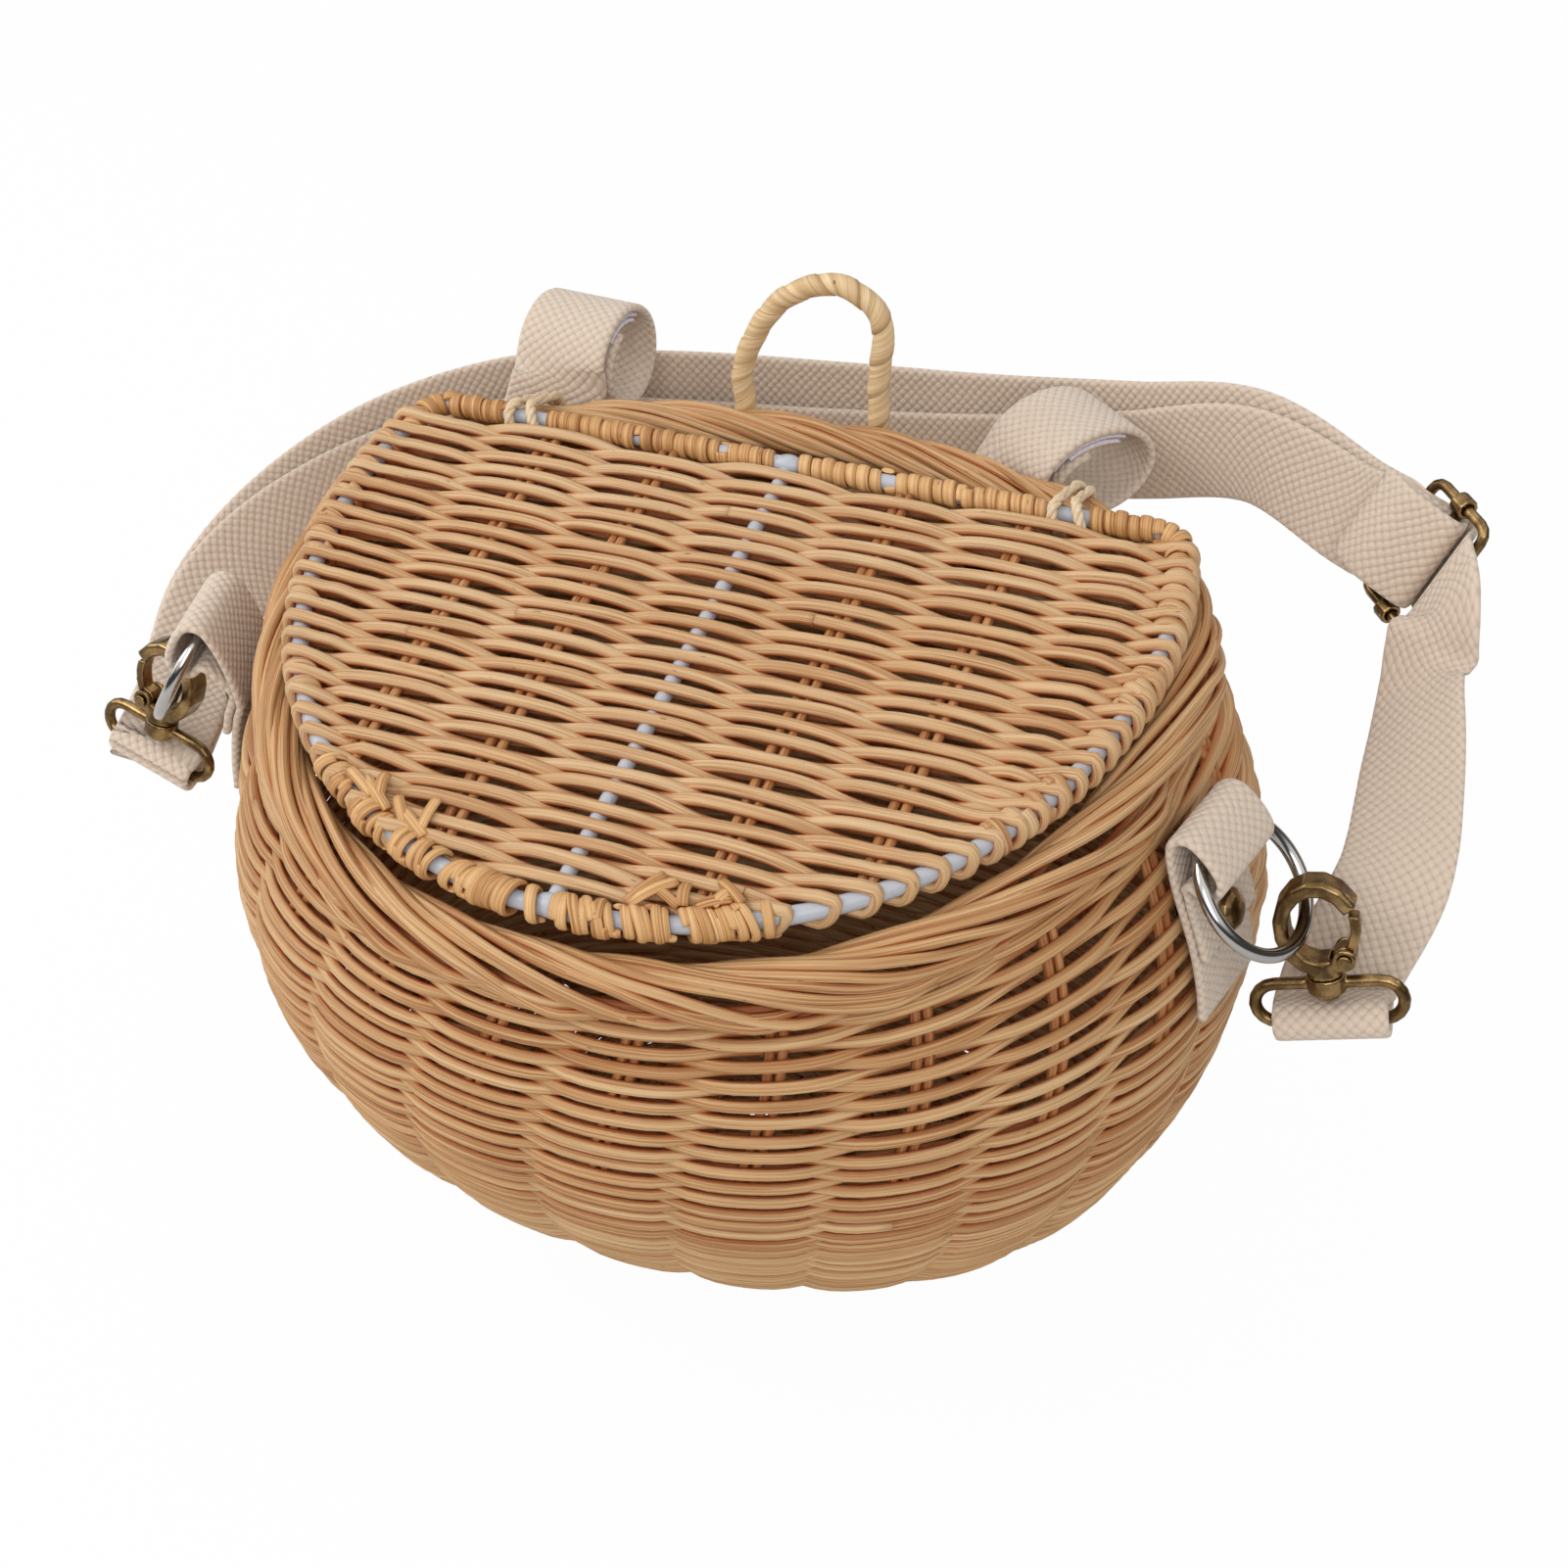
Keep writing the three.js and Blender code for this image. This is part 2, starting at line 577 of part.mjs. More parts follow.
piece(lid, 'lid_weave', lidWeave(), LID_RATTAN);

// Stake pairs under the bulges, as long as the outline allows
[-2, -1, 1, 2].forEach((rank, i) => {
  const w = STAKE_WIDTH / 2;
  const t = STAKE_THICKNESS / 2;
  const seat = LID_RELIEF - SKIN / 2 - CLEARANCE - t - 0.3 * LID_RELIEF * w / (LID_STAKE_SPACING / 4);
  const x = rank * LID_STAKE_SPACING;
  const section = [[-w, 0], [-w / 2, -t], [w / 2, -t], [w, 0], [w / 2, t], [-w / 2, t]];
  const bar = new THREE.ExtrudeGeometry(new THREE.Shape(
    section.map(([a, b]) => new Vector2(x + a, seat + b))),
    { depth: 2 * LID_DEPTH, bevelEnabled: false });
  bar.translate(0, 0, -LID_DEPTH / 2).rotateX(Math.PI / 2);
  const reach = new THREE.ExtrudeGeometry(new THREE.Shape(lidOutline(panelInset, panelInset)),
    { depth: 40, bevelEnabled: false });
  piece(lid, `lid_stake_${i + 1}`, overlapOf(bar, reach.translate(0, 0, -20)), STAKE_RATTAN);
});

// Cane wound on the hinge bar, left open at the ties and at the centre wire
const tieHalf = TIE_TURNS * (TIE_CORD + 0.5) / 2 + 1;
const weldHalf = LID_CENTRE_WIRE / 2 + 2 * CLEARANCE;
const barEnd = LID_HINGE_HALF - LID_CORNER;
const barBindings = [[-barEnd, -TIE_X - tieHalf], [-TIE_X + tieHalf, -weldHalf],
  [weldHalf, TIE_X - tieHalf], [TIE_X + tieHalf, barEnd]];
barBindings.forEach(([from, to], i) => {
  const bore = LID_WIRE / 2 + CLEARANCE;
  const profile = [[bore, from], [bindingRadius, from], [bindingRadius, to], [bore, to], [bore, from]];
  piece(lid, `hinge_binding_${i + 1}`, turned(profile, new Vector3(), new Vector3(1, 0, 0), 10),
    CANE_FINISH);
});

// Cane wound on the front of the frame, open where the centre wire is welded on
function frontBinding(from, to) {
  const steps = 8;
  const points = counted(steps + 1, (i) => {
    const x = from + (to - from) * i / steps;
    const depth = LID_WIDEST_DEPTH + (LID_DEPTH - LID_WIDEST_DEPTH)
      * (1 - (Math.abs(x) / LID_HALF_WIDTH) ** LID_FRONT_POWER) ** (1 / LID_FRONT_POWER);
    return new Vector3(x, -depth, 0);
  });
  return sleeve(stations(points, UP), LID_WIRE + 2 * CLEARANCE + 1, 2 * bindingRadius + 1, 8);
}
piece(lid, 'front_binding_left', frontBinding(-FRONT_BINDING_LEFT, -weldHalf), CANE_FINISH);
piece(lid, 'front_binding_right', frontBinding(weldHalf, FRONT_BINDING_RIGHT), CANE_FINISH);

// Ties: each winds round the hinge bar and the border together
function hingeTie(side) {
  const barReach = LID_WIRE / 2 + CLEARANCE + TIE_CORD / 2;
  const borderReach = BORDER_WIDTH / 2 + 2 * CLEARANCE + TIE_CORD / 2;
  const bar = new Vector2(HINGE_Y, hingeZ);
  const steps = 18;
  const pitch = TIE_CORD + 0.5;
  const points = counted(TIE_TURNS * steps + 1, (i) => {
    const angle = 2 * Math.PI * i / steps;
    const way = new Vector2(Math.cos(angle), Math.sin(angle));
    const x = side * TIE_X + pitch * (i / steps - TIE_TURNS / 2);
    const border = new Vector2(borderBackY(x), rimHeight(borderBackY(x)));
    const overBar = bar.dot(way) + barReach > border.dot(way) + borderReach;
    const p = overBar
      ? bar.clone().addScaledVector(way, barReach)
      : border.addScaledVector(way, borderReach);
    return new Vector3(x, p.x, p.y);
  });
  const nearest = Math.min(
    ...points.flatMap((p, i) => points.slice(i + steps - 3).map((q) => p.distanceTo(q))));
  console.log(`hinge tie: least gap between turns ${(nearest - TIE_CORD).toFixed(2)} mm`);
  return sweep(stations(points, new Vector3(1, 0, 0)), oval(TIE_CORD, TIE_CORD, 6));
}
piece(object, 'hinge_tie_left', hingeTie(-1), CORD_FINISH);
piece(object, 'hinge_tie_right', hingeTie(1), CORD_FINISH);

// Side tab, ring, hook and swivel eye share one frame: out from the wall, along it and up
const tabShape = {
  left: { place: LEFT_TAB_PLACE, reach: LEFT_TAB_REACH, drop: LEFT_RING_DROP_DEG },
  right: { place: RIGHT_TAB_PLACE, reach: RIGHT_TAB_REACH, drop: RIGHT_RING_DROP_DEG },
};
const chordRise = (RING_RADIUS - Math.sqrt(RING_RADIUS ** 2 - (WEBBING_WIDTH / 2) ** 2)) / 2;

function tabFrame({ place, reach, drop }) {
  const upright = place - STAKE_LEAN * (TAB_ROLL_LEVEL - TAB_RIVET_LEVEL);
  const { along } = wall(place, TAB_RIVET_LEVEL);
  const normal = along.clone().cross(UP);
  const roll = wall(upright, TAB_ROLL_LEVEL).point.addScaledVector(normal, outsideSeat + reach);
  const angle = THREE.MathUtils.degToRad(drop);
  const outward = normal.clone().multiplyScalar(Math.cos(angle)).addScaledVector(UP, -Math.sin(angle));
  const above = normal.clone().multiplyScalar(Math.sin(angle)).addScaledVector(UP, Math.cos(angle));
  const lean = THREE.MathUtils.degToRad(HOOK_LEAN_DEG);
  const tip = THREE.MathUtils.degToRad(HOOK_TIP_BACK_DEG);
  const yaw = THREE.MathUtils.degToRad(HOOK_YAW_DEG);
  const back = along.clone().multiplyScalar(Math.sign(along.y));
  const level = normal.clone().multiplyScalar(Math.cos(yaw)).addScaledVector(back, Math.sin(yaw));
  const levelBack = back.clone().multiplyScalar(Math.cos(yaw)).addScaledVector(normal, -Math.sin(yaw));
  const hookAcross = level.clone().multiplyScalar(Math.cos(lean)).addScaledVector(UP, Math.sin(lean));
  const hookPlumb = UP.clone().multiplyScalar(Math.cos(lean)).addScaledVector(level, -Math.sin(lean));
  const hookUp = hookPlumb.clone().multiplyScalar(Math.cos(tip)).addScaledVector(levelBack, Math.sin(tip));
  const hookBack = levelBack.clone().multiplyScalar(Math.cos(tip))
    .addScaledVector(hookPlumb, -Math.sin(tip));
  const ringMiddle = roll.clone().addScaledVector(outward, RING_RADIUS - chordRise);
  const held = ringMiddle.clone().addScaledVector(outward, RING_RADIUS * Math.cos(yaw))
    .addScaledVector(back, RING_RADIUS * Math.sin(yaw));
  const swivel = held.clone().addScaledVector(hookUp, -CLAW_CENTRE)
    .addScaledVector(hookAcross, HOOK_OFFSET);
  return { normal, along, roll, outward, above, hookUp, hookAcross, hookBack, ringMiddle, swivel };
}

function webbingTab(side) {
  const shape = tabShape[side];
  const { roll, outward, above, along } = tabFrame(shape);
  const upright = (level) => shape.place - STAKE_LEAN * (level - TAB_RIVET_LEVEL);
  const seat = (level, layer = 0) => wall(upright(level), level,
    outsideSeat + layer * (WEBBING + CLEARANCE)).point;
  const round = RING_WIRE / 2 + RING_PLAY + WEBBING / 2;
  const loop = (outShare, angleDeg) => {
    const angle = THREE.MathUtils.degToRad(angleDeg);
    return roll.clone().addScaledVector(outward, outShare * chordRise + round * Math.cos(angle))
      .addScaledVector(above, round * Math.sin(angle));
  };
  const points = [
    seat(TAB_TAIL_LEVEL), seat(TAB_TAIL_LEVEL + 0.12), seat(TAB_RIVET_LEVEL - 0.1),
    seat(TAB_RIVET_LEVEL), seat(TAB_RIVET_LEVEL + 0.07),
    loop(-1, 200), loop(-1, 140), loop(-1, 90), loop(1, 90), loop(1, 45), loop(1, 0), loop(1, -45),
    loop(1, -90),
    seat(TAB_RIVET_LEVEL + 0.11, 1.05), seat(TAB_RIVET_LEVEL, 1), seat(TAB_RIVET_LEVEL - 0.09, 1),
  ];
  const curve = new THREE.CatmullRomCurve3(points, false, 'centripetal');
  const strip = sweep(stations(curve.getPoints(2 * (points.length - 1)), along),
    flat(WEBBING_WIDTH, WEBBING));
  return cut(strip, tabRivets[side].drill);
}

const basis = (x, y, z, at) => new THREE.Matrix4().makeBasis(x, y, z).setPosition(at);

function ring(side) {
  const { outward, above, ringMiddle } = tabFrame(tabShape[side]);
  const torus = new THREE.TorusGeometry(RING_RADIUS, RING_WIRE / 2, 8, 28);
  torus.deleteAttribute('normal');
  torus.deleteAttribute('uv');
  return mergeVertices(torus.applyMatrix4(basis(outward, above.clone().cross(outward), above, ringMiddle)),
    1e-4);
}

// Claw hook pieces, drawn in the plane of the claw
const ellipseAt = (halfWidth, halfHeight, deg) => {
  const angle = THREE.MathUtils.degToRad(deg);
  return new Vector2(halfWidth * Math.cos(angle), CLAW_CENTRE + halfHeight * Math.sin(angle));
};
const pivot = ellipseAt((CLAW_HALF_WIDTH + CLAW_OPEN_HALF_WIDTH) / 2,
  (CLAW_HALF_HEIGHT + CLAW_OPEN_HALF_HEIGHT) / 2, CLAW_HEEL_DEG);
const through = (radius, height, sides = 14) => new THREE.CylinderGeometry(radius, radius, height,
  sides).rotateX(Math.PI / 2)
  .translate(pivot.x, pivot.y, 0);
const arcOf = (halfWidth, halfHeight, from, to, steps) =>
  counted(steps + 1, (i) => ellipseAt(halfWidth, halfHeight, from + (to - from) * i / steps));

function hookBody() {
  const c = HOOK_CHAMFER;
  const outline = [
    ...arcOf(CLAW_HALF_WIDTH - c, CLAW_HALF_HEIGHT - c, CLAW_NOSE_DEG, CLAW_HEEL_DEG + 360, 12),
    ...arcOf(CLAW_OPEN_HALF_WIDTH + c, CLAW_OPEN_HALF_HEIGHT + c, CLAW_HEEL_DEG + 360, CLAW_NOSE_DEG, 12),
  ];
  const claw = new THREE.ExtrudeGeometry(new THREE.Shape(outline), {
    depth: HOOK_THICKNESS - 2 * c, bevelThickness: c, bevelSize: c, bevelSegments: 1,
  }).translate(0, 0, -HOOK_THICKNESS / 2 + c);
  const collarLow = HUB_HALF_HEIGHT + CLEARANCE;
  const collarHigh = CLAW_CENTRE - CLAW_OPEN_HALF_HEIGHT - 1;
  const headTop = -HUB_HALF_HEIGHT - CLEARANCE;
  const stem = turned([[0, headTop - POST_HEAD_THICKNESS], [POST_HEAD / 2, headTop - POST_HEAD_THICKNESS],
    [POST_HEAD / 2, headTop],
    [POST / 2, headTop], [POST / 2, collarLow], [HUB / 2, collarLow], [HUB / 2 - 0.5, collarHigh], [0,
      collarHigh]],
  new Vector3(), new Vector3(0, 1, 0), 14);
  const whole = join(claw, stem, through(GATE_EYE / 2, HOOK_THICKNESS));
  return cut(whole, through(GATE_EYE / 2 + 2 * CLEARANCE, GATE_SLOT),
    through(PIN / 2 + CLEARANCE / 2, 2 * HOOK_THICKNESS));
}

function hookGate() {
  const middleWidth = (CLAW_HALF_WIDTH + CLAW_OPEN_HALF_WIDTH) / 2;
  const middleHeight = (CLAW_HALF_HEIGHT + CLAW_OPEN_HALF_HEIGHT) / 2;
  const half = GATE_BAND / 2;
  const outline = [
    ...arcOf(middleWidth + half, middleHeight + half, CLAW_HEEL_DEG, CLAW_NOSE_DEG, 8),
    ...arcOf(middleWidth - half, middleHeight - half, CLAW_NOSE_DEG, CLAW_HEEL_DEG, 8),
  ];
  const band = new THREE.ExtrudeGeometry(new THREE.Shape(outline),
    { depth: GATE_THICKNESS, bevelEnabled: false })
    .translate(0, 0, -GATE_THICKNESS / 2);
  const nose = ellipseAt(CLAW_OPEN_HALF_WIDTH, CLAW_OPEN_HALF_HEIGHT, CLAW_NOSE_DEG);
  const swing = through(nose.distanceTo(pivot) - HOOK_CHAMFER - CLEARANCE, 2 * GATE_THICKNESS, 48);
  const leaf = join(overlapOf(band, swing), through(GATE_EYE / 2, GATE_THICKNESS));
  const springRoom = SPRING_TURNS * SPRING_PITCH + SPRING_WIRE + 2 * CLEARANCE;
  return cut(leaf, through(PIN / 2 + CLEARANCE / 2, 2 * GATE_THICKNESS),
    through(SPRING_RADIUS + SPRING_WIRE / 2 + CLEARANCE / 2, springRoom));
}

function gatePin() {
  const end = HOOK_THICKNESS / 2 + CLEARANCE;
  const cap = 0.7;
  return turned([[0, -end - cap], [PIN_HEAD / 2, -end - cap], [PIN_HEAD / 2, -end], [PIN / 2, -end],
    [PIN / 2, end],
    [PIN_HEAD / 2, end], [PIN_HEAD / 2, end + cap], [0,
      end + cap]], new Vector3(pivot.x, pivot.y, 0), new Vector3(0, 0, 1), 10);
}

function gateSpring() {
  const steps = 10;
  const points = counted(SPRING_TURNS * steps + 1, (i) => {
    const angle = 2 * Math.PI * i / steps;
    return new Vector3(pivot.x + SPRING_RADIUS * Math.cos(angle), pivot.y + SPRING_RADIUS * Math.sin(angle),
      SPRING_PITCH * (i / steps - SPRING_TURNS / 2));
  });
  return sweep(stations(points, UP), oval(SPRING_WIRE, SPRING_WIRE, 5));
}

function swivelEye() {
  const half = EYE_STRAIGHT / 2;
  const r = EYE_END_RADIUS;
  const end = (x, from) => counted(9, (i) => {
    const angle = from - Math.PI * i / 8;
    return new Vector3(x + r * Math.cos(angle), -r + r * Math.sin(angle), 0);
  });
  const loop = [...end(half, Math.PI / 2), ...end(-half, -Math.PI / 2)];
  const wire = sweep(stations(loop, UP, true), oval(EYE_WIRE, EYE_WIRE, 8), true);
  const hub = new THREE.CylinderGeometry(HUB / 2, HUB / 2, 2 * HUB_HALF_HEIGHT, 16);
  const bore = new THREE.CylinderGeometry(POST / 2 + CLEARANCE, POST / 2 + CLEARANCE, 4 * HUB_HALF_HEIGHT,
    16);
  return cut(join(wire, hub), bore);
}

const eyeBars = {};
for (const side of sides) {
  piece(object, `tab_${side}`, webbingTab(side), COTTON);
  piece(object, `tab_rivet_${side}`, tabRivets[side].body, ANTIQUE_BRASS);
  piece(object, `tab_washer_${side}`, tabRivets[side].washer, ANTIQUE_BRASS);
  piece(object, `ring_${side}`, ring(side), NICKEL);
  const { hookAcross, hookUp, hookBack, swivel } = tabFrame(tabShape[side]);
  const hook = new THREE.Group();
  hook.applyMatrix4(basis(hookAcross, hookUp, hookAcross.clone().cross(hookUp), swivel));
  object.add(hook);
  piece(hook, `hook_body_${side}`, hookBody(), ANTIQUE_BRASS);
  piece(hook, `hook_gate_${side}`, hookGate(), ANTIQUE_BRASS);
  piece(hook, `gate_pin_${side}`, gatePin(), ANTIQUE_BRASS);
  piece(hook, `gate_spring_${side}`, gateSpring(), SPRING_STEEL);
  piece(hook, `swivel_eye_${side}`, swivelEye(), ANTIQUE_BRASS);
  eyeBars[side] = { at: swivel.clone().addScaledVector(hookUp, -2 * EYE_END_RADIUS), way: hookAcross,
    run: hookBack, up: hookUp };
}

// Shoulder strap. Layers lie on each side of its middle line; at an eye it turns round the lower bar.
const vectors = (list) => list.map((p) => new Vector3(...p));
const eyeTurn = EYE_WIRE / 2 + 0.8 + WEBBING / 2;
const layer = (WEBBING + LAYER_GAP) / 2;
const leftBar = eyeBars.left;
const rightBar = eyeBars.right;
// The strap's upper edge turns outwards at both eyes
const leftEdge = leftBar.way.clone();
const rightEdge = rightBar.way.clone();

const sliderAlong = new Vector3(...SLIDER_ALONG).normalize();
const sliderEdge = new Vector3(...SLIDER_ACROSS);
const sliderAcross = sliderEdge.addScaledVector(sliderAlong, -sliderEdge.dot(sliderAlong)).normalize();
const slider = {
  at: new Vector3(...SLIDER_AT), along: sliderAlong, across: sliderAcross,
  face: sliderAlong.clone().cross(sliderAcross),
};
const atSlider = (along, face, across = 0) => offset(slider, across, face).addScaledVector(slider.along,
  along);

const past = SLIDER_WIRE / 2 + CLEARANCE + WEBBING / 2;
const apart = WEBBING + LAYER_GAP;
const hump = past + apart;
const reach = SLIDER_HALF_LENGTH;
const steep = THREE.MathUtils.radToDeg(Math.asin((past + hump) / reach));
const spread = THREE.MathUtils.radToDeg(Math.acos((hump + apart + 0.3 - past) / reach));

const toSlider = [...vectors(STRAP_ROUTE), atSlider(-reach, past + apart / 2)];
const doubled = ribbonRun(toSlider, [...vectors(STRAP_EDGE), slider.across], 50).slice(0, -2);
const eyeFrame = (bar) => ({ run: bar.run, over: bar.up });
const aroundEye = (bar, frame, degrees) => degrees.map((deg) => {
  const angle = THREE.MathUtils.degToRad(deg);
  return bar.at.clone().addScaledVector(frame.over, eyeTurn * Math.sin(angle)).addScaledVector(frame.run,
    eyeTurn * Math.cos(angle));
});

const leftFrame = eyeFrame(leftBar);
const rightFrame = eyeFrame(rightBar);

// Turn round one of the slider's wires, in the plane across them
const sliderTurn = (along, radius, from, to, steps) => counted(steps + 1, (i) => {
  const angle = THREE.MathUtils.degToRad(from + (to - from) * i / steps);
  return atSlider(along + radius * Math.cos(angle), radius * Math.sin(angle));
});

// Outer layer: sewn round the right eye, up to the slider, over its bar and round the back to the left eye
function strapMain() {
  const turn = aroundEye(rightBar, rightFrame, [-90, -120, -150, 180, 150, 120, 90]);
  const run = vectors(RIGHT_RUN).reverse();
  const rise = new THREE.CatmullRomCurve3([turn[6], turn[6].clone().addScaledVector(rightFrame.run, 9),
    ...run,
    atSlider(reach + 8, past + 3.2, -3), atSlider(reach, past + 0.5)], false, 'centripetal').getPoints(18);
  const edgeTurn = new THREE.CatmullRomCurve3([rightEdge, rightEdge, ...vectors(RIGHT_RUN_EDGE).reverse(),
    slider.across, slider.across]);
  const riseEdges = edgeTurn.getPoints(18);
  const lifted = stations(rise, riseEdges).slice(3, 3 + STRAP_TAIL_STEPS);
  const tail = lifted.map((station, i) => offset(station, 0,
    apart + 0.3 + 0.8 * (1 - i / STRAP_TAIL_STEPS))).reverse();
  const over = [...sliderTurn(reach, past, 90, 90 + steep, 3).slice(1),
    ...sliderTurn(0, hump, steep - 90, -90 - steep, 5),
    ...sliderTurn(-reach, past, 90 - steep, 95, 3)];
  const back = doubled.map((station) => offset(station, 0, -layer)).reverse();
  const leftEnd = aroundEye(leftBar, leftFrame, [-90, -120, -150, -174]);
  const points = [...tail, ...turn.slice(0, -1), ...rise, ...over, ...back, ...leftEnd];
  const edges = [
    ...lifted.map((station) => station.across).reverse(), ...turn.slice(1).map(() => rightEdge), ...riseEdges,
    ...over.map(() => slider.across), ...doubled.map((station) => station.across).reverse(),
    ...leftEnd.map(() => leftEdge),
  ];
  return sweep(stations(points, edges), flat(WEBBING_WIDTH, WEBBING));
}

// Inner layer: from the left eye back to the slider, round its bar and sewn to itself
function strapReturn() {
  const leftEnd = aroundEye(leftBar, leftFrame, [174, 150, 120, 90]);
  const back = doubled.map((station, i) => {
    const sag = Math.sin(Math.PI * i / (doubled.length - 1)) ** 2;
    return offset(station, -(RETURN_DROP + RETURN_SAG * sag) * station.across.z ** 2, layer + sag);
  });
  const into = [...sliderTurn(-reach, hump, 95, 90 - steep, 3),
    ...sliderTurn(0, past, -90 - steep, spread, 8), ...sliderTurn(-reach, hump + apart + 0.3, spread, 95,
      2),
    atSlider(-reach - 6, hump + apart + 0.6)];
  const points = [...leftEnd, ...back, ...into];
  const edges = [...leftEnd.map(() => leftEdge), ...doubled.map((station) => station.across),
    ...into.map(() => slider.across)];
  return sweep(stations(points, edges), flat(WEBBING_WIDTH, WEBBING));
}
piece(object, 'strap_main', strapMain(), COTTON);
piece(object, 'strap_return', strapReturn(), COTTON);

// Slider: a wire frame whose bar hooks round the two long wires
function sliderFrame() {
  const half = WEBBING_WIDTH / 2 + SLIDER_SIDE_PLAY + SLIDER_WIRE / 2;
  const c = SLIDER_CORNER;
  const corners = [[reach - c, half - c, 0], [-reach + c, half - c, 90], [-reach + c, -half + c, 180],
    [reach - c, -half + c, 270]];
  const points = corners.flatMap(([along, across, from]) => [0, 30, 60, 90].map((deg) => {
    const angle = THREE.MathUtils.degToRad(from + deg);
    return atSlider(along + c * Math.cos(angle), 0, across + c * Math.sin(angle));
  }));
  return sweep(stations(points, slider.face, true), oval(SLIDER_WIRE, SLIDER_WIRE, 8), true);
}

function sliderBar() {
  const half = WEBBING_WIDTH / 2 + SLIDER_SIDE_PLAY + SLIDER_WIRE / 2;
  const bore = SLIDER_WIRE / 2 + CLEARANCE;
  const collarLength = 4;
  const bar = rod(atSlider(0, 0, -half), atSlider(0, 0, half), SLIDER_WIRE, 8);
  const collars = [-half, half].map((across) => rod(atSlider(-collarLength / 2, 0, across),
    atSlider(collarLength / 2, 0, across), 2 * bore + 2, 10));
  const bores = [-half, half].map((across) => rod(atSlider(-collarLength, 0, across),
    atSlider(collarLength, 0, across), 2 * bore, 10));
  return cut(join(bar, ...collars), ...bores);
}
piece(object, 'slider_frame', sliderFrame(), ANTIQUE_BRASS);
piece(object, 'slider_bar', sliderBar(), ANTIQUE_BRASS);

// Handlebar straps: riveted under the border, rolled into a loop that closes on itself with tape
const turnStep = WEBBING + 2 * TAPE + 3 * CLEARANCE + 0.2;

const barLoops = {
  left: barLoop(LEFT_BAR_LOOP),
  right: barLoop(RIGHT_BAR_LOOP),
};

function barLoop({ middle, yawDeg, halfDepth, halfHeight }) {
  const yaw = THREE.MathUtils.degToRad(yawDeg);
  const away = new Vector3(Math.sin(yaw), Math.cos(yaw), 0);
  const at = (deg, out = 0) => {
    const angle = THREE.MathUtils.degToRad(deg);
    const wound = out - turnStep * (180 - deg) / 360;
    return new Vector3(...middle).addScaledVector(away, (halfDepth + wound) * Math.cos(angle))
      .addScaledVector(UP, (halfHeight + wound) * Math.sin(angle));
  };
  return { at, along: UP.clone().cross(away) };
}

function barStrap(side) {
  const place = barPlaces[side];
  const { at, along } = barLoops[side];
  const seat = (level) => wall(place - STAKE_LEAN * (level - BAR_STRAP_RIVET_LEVEL), level,
    outsideSeat).point;
  const tail = [BAR_STRAP_TAIL_LEVEL, BAR_STRAP_RIVET_LEVEL, BAR_STRAP_RIVET_LEVEL + 0.1].map(seat);
  const turns = counted(25, (i) => at(180 - 18 * i));
  const count = 42;
  const points = new THREE.CatmullRomCurve3([...tail, ...turns], false, 'centripetal').getPoints(count);
  const onWall = wall(place, BAR_STRAP_RIVET_LEVEL).along;
  const turned = 4 / (tail.length + turns.length - 1);
  const edges = points.map((_, i) => onWall.clone().lerp(along,
    Math.min(1, Math.max(0, (i / count / turned - 0.5) * 2))));
  const strip = sweep(stations(points, edges), flat(WEBBING_WIDTH, WEBBING));
  return cut(strip, barRivets[side].drill);
}

const tapeStrip = (side, from, to, out) => {
  const { at, along } = barLoops[side];
  const points = counted(8, (i) => at(from + (to - from) * i / 7, out));
  return sweep(stations(points, along), flat(TAPE_WIDTH, TAPE));
};

const tapeSeat = WEBBING / 2 + CLEARANCE + TAPE / 2;
for (const side of sides) {
  piece(object, `bar_strap_${side}`, barStrap(side), COTTON);
  piece(object, `hook_tape_${side}`, tapeStrip(side, 150, 60, -tapeSeat), TAPE_FINISH);
  piece(object, `loop_tape_${side}`, tapeStrip(side, 130 - 360, 65 - 360, tapeSeat), TAPE_FINISH);
  piece(object, `bar_rivet_${side}`, barRivets[side].body, ANTIQUE_BRASS);
  piece(object, `bar_washer_${side}`, barRivets[side].washer, ANTIQUE_BRASS);
}

// Where the moving pieces turn: a point and an axis for each
object.userData.turns = {};
for (const side of sides) {
  const { roll, along, hookAcross, hookUp, swivel } = tabFrame(tabShape[side]);
  const hinge = swivel.clone().addScaledVector(hookAcross, pivot.x).addScaledVector(hookUp, pivot.y);
  object.userData.turns[`ring_${side}`] = [roll, along];
  object.userData.turns[`hook_${side}`] = [swivel, hookUp];
  object.userData.turns[`gate_${side}`] = [hinge, hookAcross.clone().cross(hookUp)];
}

export default object;
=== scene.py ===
import math

import bpy
import numpy as np
from mathutils import Matrix, Vector


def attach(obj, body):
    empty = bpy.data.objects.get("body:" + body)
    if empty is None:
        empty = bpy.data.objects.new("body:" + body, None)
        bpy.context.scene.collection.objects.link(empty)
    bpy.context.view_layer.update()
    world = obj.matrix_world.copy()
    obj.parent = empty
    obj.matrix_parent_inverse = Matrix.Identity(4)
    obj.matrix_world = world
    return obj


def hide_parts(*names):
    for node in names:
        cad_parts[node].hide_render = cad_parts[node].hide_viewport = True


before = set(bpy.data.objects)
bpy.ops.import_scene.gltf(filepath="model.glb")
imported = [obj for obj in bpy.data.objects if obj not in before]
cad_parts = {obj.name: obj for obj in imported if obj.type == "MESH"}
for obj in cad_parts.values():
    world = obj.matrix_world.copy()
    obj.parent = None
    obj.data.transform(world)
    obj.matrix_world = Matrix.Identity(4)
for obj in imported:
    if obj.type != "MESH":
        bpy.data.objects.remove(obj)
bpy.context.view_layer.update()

# Stage: a wide pale floor under the basket, which keeps a soft shadow,
# with plain white light all round and three large soft lamps, in front and to the left.
MM = 0.001
scene = bpy.context.scene
